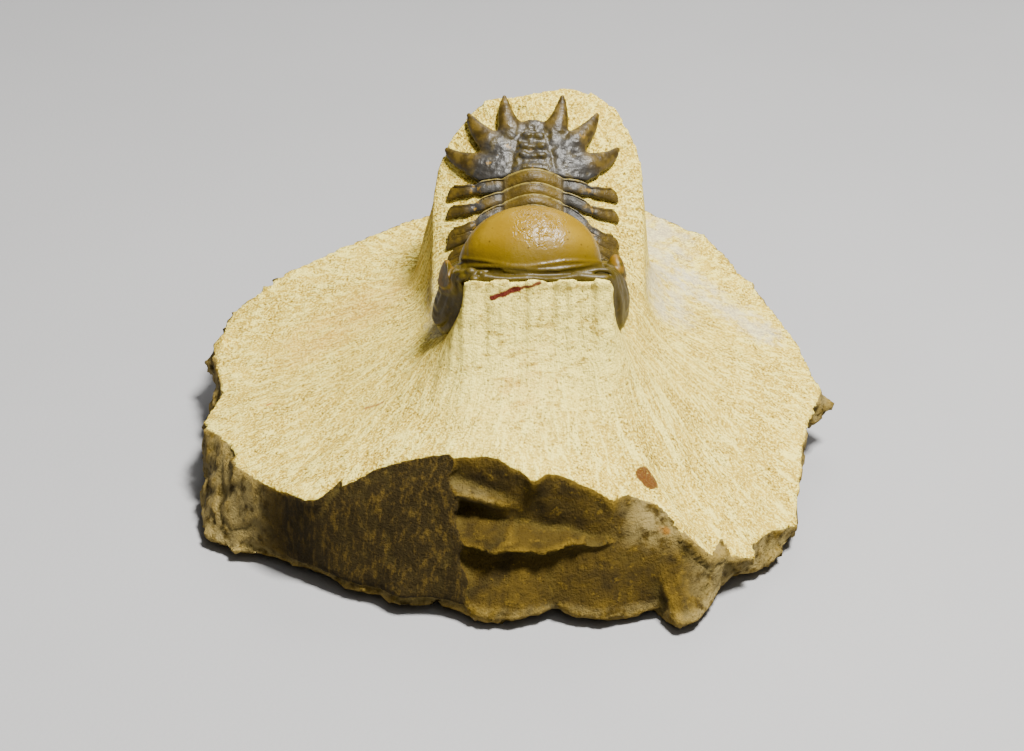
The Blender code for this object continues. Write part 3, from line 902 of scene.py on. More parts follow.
    def relief(self, points: Array, normals: Array, worked: dict[str, Array]) -> Array:
        """Raise and sink the skin into tool marks, steps and grain.

        Args:
            points: Points of the plain skin.
            normals: The outward direction at each.
            worked: What was done to the rock there.

        Returns:
            The moved points.
        """
        x, y, z = points.T
        broken, joint = soft_step(worked["broken"], 0.35, 0.65), worked["joint"]
        calm = soft_step(y, -20, -30) * soft_step(x, 32, 24) * soft_step(z, 2.5, 5.0)
        calm = calm * (1 - 0.6 * worked["pale"])
        steps = (0.85 - 0.75 * calm) * facets(points, 8.5, 21)
        steps = steps + (0.38 - 0.26 * calm) * facets(points, 3.4, 22) + 0.16 * rough(points, 1.7, 2, 23)
        steps = steps * (1 + 0.4 * soft_step(x, -38, -44))
        flat = 0.16 * facets(points * [1.0, 1.0, 0.4], 3.0, 31) + 0.10 * rough(points, 1.2, 2, 32)
        near_fossil = soft_step(self.ridge(x, y, z), 1.0, 0.2)
        near_fossil = near_fossil * soft_step(z, 30, 36) * soft_step(y, -15.2, -14.2)
        behind = soft_step(y, 20, 30) * soft_step(z, 40, 48)
        ground = 0.30 * rough(points, 9.0, 2, 11) + 0.10 * noise(self.strokes(points), 1.0, 12)
        ground = ground + 0.06 * noise(points, 0.9, 13)
        ground = ground * (1 - 0.5 * near_fossil) * (1 + behind) + behind * 0.45 * facets(points, 3.4, 18)
        chipped = 0.13 * rough(points * [0.6, 1.0, 1.3], 1.6, 2, 17)
        ground = ground + soft_step(z, 31, 37) * worked["pillar"] * chipped
        height = ground * (1 - broken) + broken * ((1 - joint) * steps + joint * flat)
        return points + (height * soft_step(z, 0.0, 1.2))[:, None] * normals

    def build(self, finish: bpy.types.Material) -> None:
        """Make the block and dress it."""
        points, rings = self.skin()
        normals = self.slope(points)
        normals /= np.linalg.norm(normals, axis=1, keepdims=True) + 1e-9
        worked = self.worked(points)
        points = self.relief(points, normals, worked)
        points[:, 2] = np.maximum(points[:, 2], 0.0)
        worked["grain"] = self.strokes(points) * MM
        piece = new_piece("limestone_block", points, rings, worked, (6, 0.35))
        settle(piece, finish, "matrix")


# ---- the plates ----


def curve_points(start: Sequence[float], middle: Sequence[float], end: Sequence[float], count: int) -> Array:
    """Points along a smooth bend from start to end.

    Args:
        start: The first point.
        middle: The point it bends towards.
        end: The last point.
        count: How many points.

    Returns:
        Rows of three.
    """
    share = np.linspace(0, 1, count)[:, None]
    start, middle, end = (np.asarray(place, float) for place in (start, middle, end))
    return (1 - share) ** 2 * start + 2 * share * (1 - share) * middle + share**2 * end


def horn(points: Array, path: Array, radii: Sequence[float], reach: float = 0.3) -> Array:
    """Distance from a bent, tapering rod.

    Args:
        points: Where to measure, as rows of three.
        path: The rod's middle, as rows of three.
        radii: Its radius at each point of the path.
        reach: How softly its lengths join.

    Returns:
        Negative inside, positive outside.
    """
    total = round_cone(points, path[0], path[1], radii[0], radii[1])
    for k in range(1, len(path) - 1):
        total = smooth_min(total, round_cone(points, path[k], path[k + 1], radii[k], radii[k + 1]), reach)
    return total


def outline_distance(along: Array, out: Array, outline: Array) -> Array:
    """Signed distance from a closed outline in the plane, negative inside.

    Args:
        along: First coordinate of each point.
        out: Second coordinate of each point.
        outline: The outline's corners, as rows of two.

    Returns:
        One distance a point.
    """
    nearest = np.full(np.broadcast(along, out).shape, 1e9)
    inside = np.zeros(nearest.shape, bool)
    for (a, b), (c, d) in zip(outline, np.roll(outline, -1, axis=0)):
        share = np.clip(((along - a) * (c - a) + (out - b) * (d - b)) / ((c - a) ** 2 + (d - b) ** 2), 0, 1)
        gap = np.hypot(along - a - share * (c - a), out - b - share * (d - b))
        nearest = np.minimum(nearest, gap)
        if b != d:
            inside ^= ((b > out) != (d > out)) & (along < (c - a) * (out - b) / (d - b) + a)
    return np.where(inside, -nearest, nearest)


@dataclass
class Plate:
    """A piece of the animal's shell, shaped flat and then bent onto the body.

    Args:
        body: The animal's measure.
        name: The piece's name.
        node: The solid it stands for.
        slot: Its material slot; not used.
    """

    body: Body
    name: str
    node: str
    slot: Slot
    step: float = 0.18

    def limits(self) -> tuple[Place, Place]:
        """Lowest and highest corners of the flat space that holds the plate."""
        raise NotImplementedError

    def distance(self, along: Array, out: Array, height: Array) -> Array:
        """Distance from the flat plate, negative inside."""
        raise NotImplementedError

    def bend(self, flat: Array) -> Array:
        """Bend flat points onto the body."""
        return self.body.place_body(*flat.T)

    def relief(self, flat: Array) -> Array:
        """Fine relief at flat points, in millimetres outward."""
        return np.zeros(len(flat))

    def marks(self, flat: Array) -> dict[str, Array]:
        """Named values for the finish at flat points."""
        return {}

    def build(self, finish: bpy.types.Material) -> None:
        """Make the plate and dress it."""
        low, high = (np.array(corner, float) for corner in self.limits())
        count = np.ceil((high - low) / self.step).astype(int) + 1
        a, b, c = (low[k] + self.step * np.arange(count[k]) for k in range(3))
        values = self.distance(a[:, None, None], b[None, :, None], c[None, None, :])
        points, faces = skin(np.broadcast_to(values, tuple(count)), low, (self.step,) * 3)
        points = relaxed(points, faces, 0.5)
        faces = faces[:, ::-1]
        placed = self.bend(points)
        placed = placed + self.relief(points)[:, None] * point_normals(placed, faces)
        piece = new_piece(self.name, placed, faces, {"flat": points * MM, **self.marks(points)}, (14, 0.16))
        settle(piece, finish, self.node)


@dataclass
class HeadShield(Plate):
    """The head: globe-like swelling in front, rolled border, folded cheeks, knob eyes, neck ring."""

    step: float = 0.2
    margin_sweep: float = 6.5
    cheek_tip_arc: float = 23.0
    thickness: float = 1.1
    strands: tuple[tuple[float, float, float, float], ...] = ((0.6, 0.6, 0.6, 0.15), (1.05, 1.5, 0.42, 0.2))
    foot_strands: tuple[tuple[float, float, float], ...] = ((2.75, 0.2, 0.35), (2.0, 0.26, 0.2))
    globe_middle: Place = (8.0, -0.45, 2.1)
    globe_radii: Place = (7.15, 11.4, 9.3)
    eyes: tuple[tuple[Place, Place], ...] = (
        ((5.9, -14.9, 1.8), (2.5, 2.1, 2.9)),
        ((7.8, 13.5, 1.9), (2.1, 1.8, 2.5)),
    )
    lumps: tuple[tuple[Place, float], ...] = (
        ((0.9, -10.2, 1.5), 0.7), ((0.4, -8.6, 1.3), 0.45), ((-0.3, -9.6, 0.4), 0.7),
    )
    fold_reach: tuple[float, float] = (4.6, 4.3)
    flare: tuple[float, float] = (3.2, 1.7)
    right_tuck: float = 2.2

    def limits(self) -> tuple[Place, Place]:
        """Lowest and highest corners of the flat space that holds the head."""
        return (-2.6, -24.4, -2.0), (17.2, 24.4, 12.2)

    def front(self, arc: Array) -> Array:
        """Where the front margin lies, by distance out over the arch."""
        flat = 0.75 * self.body.head_flat
        swept = np.clip(np.abs(arc) - flat, 0, None) / (self.cheek_tip_arc - flat)
        return self.margin_sweep * swept**1.6

    def outline(self) -> Array:
        """The margin seen flat, closed along the joint with the thorax."""
        arcs = np.linspace(-self.cheek_tip_arc + 1.0, self.cheek_tip_arc - 1.0, 61)
        front = np.stack([self.front(arcs), arcs], axis=1)
        tip = self.cheek_tip_arc
        right = [(7.2, tip - 0.2), (8.6, tip), (10.2, tip - 0.7), (12.2, tip - 2.6), (14.2, tip - 5.0),
                 (15.5, tip - 7.6), (15.9, tip - 11)]
        left = [(a, -b) for a, b in reversed(right)]
        return np.concatenate([front, np.array(right), np.array(left)])

    def bend(self, flat: Array) -> Array:
        """Fold the cheeks down, flare them out behind the margin, and bend the head onto the body."""
        along, arc, height = flat.T
        right = arc > 0
        share = np.clip((np.abs(arc) - self.body.head_flat) / self.body.cheek_arc, 0.0, 1.3)
        reach = np.where(right, self.fold_reach[1], self.fold_reach[0])
        flare = np.where(right, self.flare[1], self.flare[0]) * soft_step(share, 0.05, 0.6)
        flare = flare * (1 - 0.5 * soft_step(share, 0.7, 1.1))
        out = np.minimum(np.abs(arc), self.body.head_flat) + reach * share**0.8
        out = out - flare * (1 - soft_step(along - self.front(arc), -0.5, 5.5))
        out = out - np.where(right, self.right_tuck * soft_step(share, 0.45, 1.3), 0.0)
        steep = np.arctan2(1.8 * self.body.cheek_drop * share**1.1, 0.8 * reach)
        low = np.minimum(height, 2.6)
        side = np.where(right, 1.0, -1.0)
        drop = self.body.cheek_drop * share**1.8
        out = side * (out + np.sin(steep) * low)
        return self.body.place(along, out, np.cos(steep) * low + height - low - drop)

    def distance(self, along: Array, out: Array, height: Array) -> Array:
        """Distance from the flat head, negative inside."""
        margin = outline_distance(along, out, self.outline())
        folded = soft_step(np.abs(out), 11, 14)
        cheek = self.thickness + 0.9 * soft_step(-margin, 1.7 - 1.7 * folded, 4.5 - 2.5 * folded)
        cheek = cheek + 0.5 * bump(along, 15.3, 0.8) + 0.12 * folded * np.cos(margin * 4.2)
        total = smooth_max(np.abs(height - cheek / 2) - cheek / 2, margin + 0.3, 0.5)
        for inset, level, radius, sway in self.strands:
            wave = sway * np.sin(out * 0.75 + 4 * level)
            roll = np.hypot(margin + inset + wave * 0.5, height - level - wave) - radius
            total = smooth_min(total, np.maximum(roll, along - 14.5), 0.2)
        furrow = bump(ellipsoid(along - 8.0, out + 0.45, 0.0, (7.7, 12.4, 9.5)), 0.0, 0.6)
        total = total + 0.5 * furrow * soft_step(height, 0.3, 1.2)
        mid = self.globe_middle
        globe = ellipsoid(along - mid[0], out - mid[1], height - mid[2], self.globe_radii)
        total = smooth_min(total, np.maximum(globe, -height), 0.3)
        for level, radius, sway in self.foot_strands:
            wave = sway * np.sin(out * 0.42 + 2 * level)
            strand = np.maximum(np.hypot(globe, height - level - wave) - radius, along - 6.5)
            total = smooth_min(total, strand, 0.3)
        neck = np.hypot((along - 15.1) / 0.9, np.maximum(height - 0.9, 0) / (1.7 - 0.015 * out**2))
        neck = np.maximum((neck - 1) * 0.8, np.abs(out) - 7.0)
        total = smooth_min(total, np.maximum(neck, -height), 0.3)
        for middle, radii in self.eyes:
            eye = ellipsoid(along - middle[0], out - middle[1], height - middle[2], radii)
            total = smooth_min(total, np.maximum(eye, -height), 0.35)
            wider = (radii[0] + 0.5, radii[1] + 0.5, 9.0)
            around = ellipsoid(along - middle[0], out - middle[1], 0.0, wider)
            total = smooth_min(total, np.hypot(around, height - 1.9) - 0.32, 0.4)
        for middle, size in self.lumps:
            lump = ellipsoid(along - middle[0], out - middle[1], height - middle[2], (size, size * 1.3, size))
            total = smooth_min(total, lump, 0.3)
        below = 1.5 * soft_step(-out, 5.5, 8.0) * soft_step(-along, 0.3, 0.8)
        return np.maximum(total, -height - below)

    def relief(self, flat: Array) -> Array:
        """Wrinkles on the border and cheeks; the globe stays nearly smooth."""
        mid, radii = self.globe_middle, self.globe_radii
        off = ellipsoid(flat[:, 0] - mid[0], flat[:, 1], flat[:, 2] - mid[2], radii)
        on_globe = soft_step(off, 0.5, 0.1) * soft_step(flat[:, 2], 2.0, 3.2)
        return (0.09 * rough(flat, 1.5, 2, 41)) * (1 - on_globe) + 0.035 * noise(flat, 2.6, 43) * on_globe

    def marks(self, flat: Array) -> dict[str, Array]:
        """globe: 1 on the swelling. low: 1 at its foot. eye: 1 on an eye."""
        mid, radii = self.globe_middle, self.globe_radii
        off = ellipsoid(flat[:, 0] - mid[0], flat[:, 1], flat[:, 2] - mid[2], radii)
        eye = np.zeros(len(flat))
        for middle, size in self.eyes:
            away = np.linalg.norm((flat - np.array(middle)) / (np.array(size) + 0.3), axis=1)
            eye = np.maximum(eye, soft_step(away, 1.2, 0.95) * soft_step(flat[:, 2], 0.1, 0.7))
        return {
            "globe": soft_step(off, 0.7, 0.15) * soft_step(flat[:, 2], 1.6, 3.0),
            "low": soft_step(flat[:, 2] + 0.25 * flat[:, 0], 8.5, 3.5),
            "eye": eye,
        }


@dataclass
class ThoraxSegment(Plate):
    """One ring of the body: an arched ring over the axis and a rib each side with a blunt free tip."""

    number: int = 1
    step: float = 0.16
    axis_height: float = 2.05
    rib_height: float = 1.45
    waist: float = 9.9
    lean_at: tuple[int, ...] = (1, 8, 9, 10, 11)
    lean_left: tuple[float, ...] = (0.0, 2.5, 2.9, 1.7, 0.4)
    lean_right: tuple[float, ...] = (0.0, 3.4, 4.4, 2.3, 0.8)

    def __post_init__(self) -> None:
        """Read where the segment lies."""
        self.start, self.pitch = self.body.segment_span(self.number)
        self.share = (self.number - 1) / (self.body.segment_count - 1)

    def limits(self) -> tuple[Place, Place]:
        """Lowest and highest corners of the flat space that holds the segment."""
        reach = self.body.rib_reach + 0.7
        return (self.start - 5.0, -reach, -0.5), (self.start + 4.6, reach, 5.0)

    def tip(self, side: float) -> tuple[float, float]:
        """Reach and half width of the free tip on one side."""
        jog = math.sin(self.number * 2.7 + side)
        return self.body.rib_reach - 0.55 + 0.1 * jog, 0.5 + 0.4 * self.share**3

    def rib_line(self, out: Array) -> Array:
        """How far the segment's middle line runs back, by distance to the side.

        The ribs lean forward on the way out, and their free tips turn back a little.

        Args:
            out: Distance to the side of the midline, signed.

        Returns:
            Millimetres back from the segment's middle.
        """
        side = np.abs(out)
        leans = self.lean_left, self.lean_right
        left, right = (np.interp(self.number, self.lean_at, lean) for lean in leans)
        forward = np.where(out < 0, left, right) * soft_step(side, self.body.axis_half - 1, 12.5)
        jog = 1 + 0.5 * np.sin(self.number * 2.7 + np.sign(out))
        turn = 0.5 * soft_step(side, self.waist, self.body.rib_reach) * jog
        return self.body.axis_bow(self.share, out) - forward + turn

    def distance(self, along: Array, out: Array, height: Array) -> Array:
        """Distance from the flat segment, negative inside."""
        side = np.abs(out)
        half = self.pitch / 2
        middle = self.start + half
        arch = np.cos(np.clip(side / (self.body.axis_half + 0.25), 0, 1) * math.pi / 2) ** 1.3
        ring_top = 1.15 + self.axis_height * arch
        line = middle + self.rib_line(out)
        above = np.maximum(height - ring_top + 0.75, 0) / 0.95
        ring = np.hypot((along - line + 0.05) / (half + 0.08), above) - 1
        lip = np.hypot(along - line - half + 0.15, height - ring_top + 0.05) - 0.23
        flange = np.maximum(np.abs(along - line + 0.75 * half) - 0.85 * half, height - ring_top + 0.35)
        ring = smooth_min(smooth_min(ring * 0.9, lip, 0.12), flange, 0.15)
        total = np.maximum(ring, side - self.body.axis_half + 0.35)
        for sign in (-1.0, 1.0):
            reach, tip_half = self.tip(sign)
            on_side = np.maximum(out * sign, 0.0)
            free = soft_step(on_side, self.waist, reach)
            wide = half - 0.05
            width = wide - 0.3 * bump(on_side, self.waist, 0.8)
            width = width - (wide - tip_half) * soft_step(on_side, self.waist - 1.2, self.waist + 2.0)
            top = self.rib_height - 0.3 * free - 0.25 * bump(on_side, self.body.axis_half + 0.2, 0.7)
            top = top - 0.35 * bump(on_side, self.waist, 0.6)
            width = width + 0.3 * self.share**3 * soft_step(on_side, self.waist + 2.0, reach)
            past = np.maximum(on_side - reach + 0.3 + 0.35 * (along - line), 0.0) / 0.6
            above = np.maximum(height - top + 0.7, 0) / 0.7
            rib = np.sqrt(((along - line) / width) ** 2 + above**2 + past**2)
            rib = np.maximum((rib - 1) * 0.7, 0.3 - out * sign)
            lip = np.hypot(along - line - width + 0.22, height - top - 0.05) - 0.2
            lip = np.maximum(lip, np.maximum(on_side - reach + 0.7, self.body.axis_half - 0.6 - on_side))
            rib = smooth_min(rib, np.where(out * sign > 0, lip, 9.0), 0.15)
            total = smooth_min(total, rib, 0.6)
        return np.maximum(total, -height)

    def relief(self, flat: Array) -> Array:
        """Creased ribs and a nearly smooth ring."""
        side = np.abs(flat[:, 1])
        ribbed = soft_step(side, 4.2, 6.0)
        crease = 0.08 * rough(flat * [1, 1, 0.5], 1.1, 2, 50 + self.number)
        crease += 0.16 * soft_step(side, 10.0, 8.5) * rough(flat * [1.3, 0.8, 0.4], 1.4, 2, 70 + self.number)
        return crease * ribbed + 0.03 * noise(flat, 1.2, 49) * (1 - ribbed)

    def marks(self, flat: Array) -> dict[str, Array]:
        """Where the finish changes.

        rim: 1 along the pale back edge. waist: 1 where the free tip begins. tip: 1 past that.
        axis: 1 over the middle.
        """
        side = np.abs(flat[:, 1])
        back = self.start + self.pitch - 0.17 + self.rib_line(flat[:, 1])
        return {
            "rim": bump(flat[:, 0] - back, 0.0, 0.17) * soft_step(side, 12.8, 10.0),
            "waist": bump(side, self.waist, 0.9),
            "axis": soft_step(side, self.body.axis_half + 0.8, self.body.axis_half - 1.0),
            "tip": soft_step(side, self.waist + 0.4, self.waist + 2.2),
        }


@dataclass
class TailShield(Plate):
    """The tail: a wrinkled half-round plate with a ringed axis, three pairs of spines and an end bump."""

    step: float = 0.17
    length: float = 10.6
    half_width: float = 12.0
    thickness: float = 1.0
    dome: float = 1.15
    axis_half: float = 3.6
    axis_height: float = 0.8
    spines: tuple[tuple[Place, Place, Place], ...] = (
        ((2.6, 6.6, 0.7), (2.9, 12.4, 1.0), (6.7, 14.8, 1.2)),
        ((5.0, 4.8, 0.7), (7.9, 9.4, 1.1), (12.4, 11.1, 1.2)),
        ((7.0, 3.0, 0.7), (10.6, 4.9, 1.2), (15.1, 5.05, 1.2)),
    )
    spine_shares: tuple[float, ...] = (0.0, 0.35, 0.55, 0.8, 1.0)
    spine_radii: tuple[float, ...] = (1.4, 1.85, 1.5, 0.9, 0.4)
    spine_flatness: float = 0.78
    knobs: tuple[Place, ...] = (
        (7.6, -0.9, 2.2), (7.5, 1.0, 2.2),
        (5.7, -1.5, 2.4), (5.6, 1.5, 2.4),
        (3.9, -1.7, 2.5), (3.8, 1.6, 2.5),
    )
    knob_radii: Place = (0.45, 0.7, 0.3)

    def limits(self) -> tuple[Place, Place]:
        """Lowest and highest corners of the flat space that holds the tail."""
        start = self.body.tail_start
        return (start - 1.0, -16.6, -0.5), (start + 16.0, 16.6, 4.6)

    def spine_paths(self) -> list[tuple[Array, Array]]:
        """The middle line and radii of each spine, both sides."""
        paths = []
        for root, bend, tip in self.spines:
            for sign in (-1.0, 1.0):
                jog = 0.25 * math.sin(3 * sign + 5 * root[0])
                places = [(self.body.tail_start + a, sign * b + jog * (k == 2), h / self.spine_flatness)
                          for k, (a, b, h) in enumerate((root, bend, tip))]
                radii = np.interp(np.linspace(0, 1, 9), self.spine_shares, self.spine_radii)
                paths.append((curve_points(*places, 9), radii))
        return paths

    def distance(self, along: Array, out: Array, height: Array) -> Array:
        """Distance from the flat tail, negative inside."""
        ahead = along - self.body.tail_start
        side = np.abs(out)
        edge = self.length * np.clip(1 - (side / self.half_width) ** 2, 0, 1) ** 0.85
        margin = np.maximum((ahead - edge) * 0.62, side - self.half_width)
        bow = self.body.axis_bow(1.0, out)
        margin = np.maximum(np.maximum(margin, bow - 0.25 - ahead), (side - 9.6 - 1.1 * ahead) * 0.7)
        around = (side / self.half_width) ** 2 + 0.75 * (ahead / self.length) ** 2
        top = self.thickness + self.dome * np.clip(1 - around, 0, 1) ** 0.7
        total = smooth_max(np.abs(height - top / 2) - top / 2, margin, 0.5)
        shape = np.broadcast(along, out, height).shape
        flat = (along, out, height / self.spine_flatness)
        points = np.stack([np.broadcast_to(axis, shape) for axis in flat], axis=-1)
        for path, radii in self.spine_paths():
            total = smooth_min(total, horn(points, path, radii) * self.spine_flatness, 0.9)
        axis_half = self.axis_half * (1 - 0.05 * ahead)
        arch = np.clip(1 - (out / (axis_half + 0.4)) ** 2, 0, 1) ** 0.8
        rings = 0.2 * np.cos(math.tau * (ahead - bow - 0.75) / 1.9) * soft_step(ahead, 9.2, 7.8)
        swell = top - 0.3 + (self.axis_height - 0.04 * ahead + rings) * arch
        ends = np.maximum(ahead - 9.3, bow - 0.25 - ahead)
        axis = np.maximum(np.maximum(height - swell, side - axis_half), ends) * 0.8
        total = smooth_min(total, axis, 0.4)
        furrow = bump(side, axis_half + 0.35, 0.5) * soft_step(height, 0.6, 1.4) * soft_step(ahead, 9.4, 7.7)
        total = total + 0.15 * furrow
        total = smooth_min(total, ellipsoid(ahead - 9.9, out, height - 1.1, (0.9, 1.7, 0.8)), 0.5)
        for knob in self.knobs:
            lump = ellipsoid(ahead - knob[0], out - knob[1], height - knob[2], self.knob_radii)
            total = smooth_min(total, lump, 0.5)
        return np.maximum(total, -height)

    def relief(self, flat: Array) -> Array:
        """Wrinkled skin between the ribs; smoother spines."""
        ahead = flat[:, 0] - self.body.tail_start
        free = self.free(flat)
        folds = 1 - np.abs(rough(flat * [1.25, 0.8, 1.0] + 3.0, 1.5, 2, 61)) * 2.2
        wrinkle = 0.14 * folds + 0.08 * rough(flat, 0.8, 2, 63)
        return wrinkle * (1 - 0.8 * free) * soft_step(ahead, -0.3, 0.8) - 0.06 * (1 - free)

    def free(self, flat: Array) -> Array:
        """1 on the free lengths of the spines."""
        share = np.zeros(len(flat))
        for path, _ in self.spine_paths():
            away = np.linalg.norm((flat - path[-1])[:, :2], axis=1)
            share = np.maximum(share, soft_step(away, 7.6, 5.2))
        return share

    def marks(self, flat: Array) -> dict[str, Array]:
        """The spines and the middle. free: 1 on the spines. axis: 1 over the middle."""
        ahead = flat[:, 0] - self.body.tail_start
        side = np.abs(flat[:, 1])
        return {"free": self.free(flat), "axis": soft_step(side, 5.0, 2.6) * soft_step(ahead, 10.2, 8.2)}


# ---- finishes ----


def srgb(red: int, green: int, blue: int) -> Colour:
    """A colour as a screen shows it, from 0 to 255, turned into light."""
    shares = [value / 255 for value in (red, green, blue)]
    light = [share / 12.92 if share < 0.04045 else ((share + 0.055) / 1.055) ** 2.4 for share in shares]
    return light[0], light[1], light[2]


class Recipe:
    """Lays out one finish's nodes. Lengths are in millimetres."""

    def __init__(self, name: str, roughness: float, gloss: float = 0.5) -> None:
        """Start a finish.

        Args:
            name: The material's name.
            roughness: Its roughness where nothing else is fed in.
            gloss: How strongly it mirrors, 0.5 for most things.
        """
        self.material = bpy.data.materials.new(name)
        self.material.use_nodes = True
        self.tree = self.material.node_tree
        self.shader = self.tree.nodes["Principled BSDF"]
        self.shader.inputs["Roughness"].default_value = roughness
        self.shader.inputs["Specular IOR Level"].default_value = gloss
        self.where = self.node("ShaderNodeTexCoord").outputs["Object"]

    def node(self, kind: str, **settings: object) -> bpy.types.Node:
        """Add a node with some of its settings."""
        made = self.tree.nodes.new(kind)
        for name, value in settings.items():
            setattr(made, name, value)
        return made

    def feed(self, socket: Socket, value: Socket | float | Sequence[float]) -> None:
        """Link a socket, or set its value."""
        if isinstance(value, bpy.types.NodeSocket):
            self.tree.links.new(value, socket)
        elif socket.type == "RGBA":
            socket.default_value = (*value, 1.0)
        else:
            socket.default_value = value

    def mark(self, name: str) -> Socket:
        """One number that a piece carries at each point."""
        return self.node("ShaderNodeAttribute", attribute_name=name).outputs["Fac"]

    def line(self, name: str) -> Socket:
        """A place that a piece carries at each point."""
        return self.node("ShaderNodeAttribute", attribute_name=name).outputs["Vector"]

    def stretched(self, place: Socket, scale: Sequence[float]) -> Socket:
        """Places squeezed or stretched along the axes."""
        made = self.node("ShaderNodeVectorMath", operation="MULTIPLY")
        self.feed(made.inputs[0], place)
        self.feed(made.inputs[1], scale)
        return made.outputs[0]

    def noise(self, size: float, detail: float = 2.0, roughness: float = 0.5,
              place: Socket | None = None) -> Socket:
        """Cloudy noise.

        Args:
            size: The size of its features.
            detail: How many finer layers it has.
            roughness: How strong those are.
            place: Where to read it, the object's own space if left out.

        Returns:
            A number from 0 to 1.
        """
        made = self.node("ShaderNodeTexNoise")
        self.feed(made.inputs["Vector"], place or self.where)
        self.feed(made.inputs["Scale"], 1 / (size * MM))
        self.feed(made.inputs["Detail"], detail)
        self.feed(made.inputs["Roughness"], roughness)
        return made.outputs["Fac"]

    def cells(self, size: float) -> Socket:
        """Distance from the nearest of many scattered points, in cell sizes."""
        made = self.node("ShaderNodeTexVoronoi")
        self.feed(made.inputs["Vector"], self.where)
        self.feed(made.inputs["Scale"], 1 / (size * MM))
        return made.outputs["Distance"]

    def maths(self, operation: str, first: Socket | float, second: Socket | float = 0.0) -> Socket:
        """Arithmetic on one or two numbers."""
        made = self.node("ShaderNodeMath", operation=operation)
        self.feed(made.inputs[0], first)
        self.feed(made.inputs[1], second)
        return made.outputs[0]

    def product(self, *values: Socket | float) -> Socket:
        """The product of two or more numbers."""
        return reduce(lambda total, value: self.maths("MULTIPLY", total, value), values)

    def plus(self, first: Socket | float, second: Socket | float) -> Socket:
        """Two numbers added up."""
        return self.maths("ADD", first, second)

    def ranged(self, share: Socket, base: float, reach: float) -> Socket:
        """A number that is base where share is 0, and base plus reach where it is 1."""
        return self.plus(self.product(share, reach), base)

    def between(self, value: Socket, low: float, high: float) -> Socket:
        """A soft step from 0 at low to 1 at high."""
        made = self.node("ShaderNodeMapRange", interpolation_type="SMOOTHSTEP")
        self.feed(made.inputs["Value"], value)
        self.feed(made.inputs["From Min"], low)
        self.feed(made.inputs["From Max"], high)
        return made.outputs["Result"]

    def patches(self, low: float, high: float, size: float, detail: float = 2.0,
                roughness: float = 0.5) -> Socket:
        """Patches with soft edges: noise below low gives 0, and above high gives 1."""
        return self.between(self.noise(size, detail, roughness), low, high)

    def blend(self, share: Socket, first: Socket | Colour, second: Socket | Colour,
              amount: float = 1.0) -> Socket:
        """Mix two colours.

        Args:
            share: How much of the second.
            first: The colour at 0.
            second: The colour at 1.
            amount: Scales the share.

        Returns:
            The mixed colour.
        """
        if amount != 1.0:
            share = self.product(share, amount)
        made = self.node("ShaderNodeMix", data_type="RGBA")
        self.feed(made.inputs[0], share)
        self.feed(made.inputs[6], first)
        self.feed(made.inputs[7], second)
        return made.outputs[2]

    def near_line(self, start: Place, end: Place, fray: float, through: float = 1.0) -> Socket:
        """Distance in millimetres from a stroke between two places, with a frayed edge.

        Args:
            start: One end of the stroke.
            end: The other end.
            fray: How far the edge wanders.
            through: How much of the distance from front to back counts.

        Returns:
            The distance.
        """
        first, last = (Vector((x, y * through, z)) * MM for x, y, z in (start, end))
        away = self.node("ShaderNodeVectorMath", operation="SUBTRACT")
        self.feed(away.inputs[0], self.stretched(self.where, (1.0, through, 1.0)))
        self.feed(away.inputs[1], tuple(first))
        stroke = last - first
        along = self.node("ShaderNodeVectorMath", operation="DOT_PRODUCT")
        self.feed(along.inputs[0], away.outputs[0])
        self.feed(along.inputs[1], tuple(stroke / stroke.length_squared))
        share = self.node("ShaderNodeClamp")
        self.feed(share.inputs[0], along.outputs["Value"])
        foot = self.node("ShaderNodeVectorMath", operation="SCALE")
        self.feed(foot.inputs[0], tuple(stroke))
        self.feed(foot.inputs["Scale"], share.outputs[0])
        gap = self.node("ShaderNodeVectorMath", operation="DISTANCE")
        self.feed(gap.inputs[0], away.outputs[0])
        self.feed(gap.inputs[1], foot.outputs[0])
        wander = self.ranged(self.noise(1.3, 3.0), -fray / 2, fray)
        return self.plus(self.product(gap.outputs["Value"], 1 / MM), wander)

    def relief(self, height: Socket, depth: float, under: Socket | None = None) -> Socket:
        """Bump the surface.

        Args:
            height: The relief, from 0 to 1.
            depth: How high 1 stands.
            under: Another relief that it lies on.

        Returns:
            The bumped normal.
        """
        made = self.node("ShaderNodeBump")
        self.feed(made.inputs["Distance"], depth * MM)
        self.feed(made.inputs["Height"], height)
        if under:
            self.feed(made.inputs["Normal"], under)
        return made.outputs["Normal"]

    def finished(self, colour: Socket, roughness: Socket | None, normal: Socket) -> bpy.types.Material:
        """Join colour, roughness and relief to the shader and give the material."""
        self.feed(self.shader.inputs["Base Color"], colour)
        if roughness:
            self.feed(self.shader.inputs["Roughness"], roughness)
        self.feed(self.shader.inputs["Normal"], normal)
        return self.material


@dataclass(frozen=True)
class Stain:
    """A coloured mark in the rock.

    Args:
        start: One end.
        end: The other end.
        width: Half its width where it covers fully.
        soft: How far it fades past that.
        colour: Its colour.
        strength: How strongly it covers.
        through: How much less depth counts than width, for a vein that runs into the rock.
    """

    start: Place
    end: Place
    width: float
    soft: float
    colour: Colour
    strength: float
    through: float = 1.0

    def laid_on(self, mix: Recipe, colour: Socket, fray: float, cover: Socket) -> Socket:
        """Lay the stain on a colour.

        Args:
            mix: The recipe to add to.
            colour: What it lies on.
            fray: How far its edge wanders.
            cover: 1 where it takes, 0 in its gaps.

        Returns:
            The stained colour.
        """
        gap = mix.near_line(self.start, self.end, fray, self.through)
        share = mix.product(mix.between(gap, self.width + self.soft, self.width), cover)
        return mix.blend(share, colour, self.colour, self.strength)


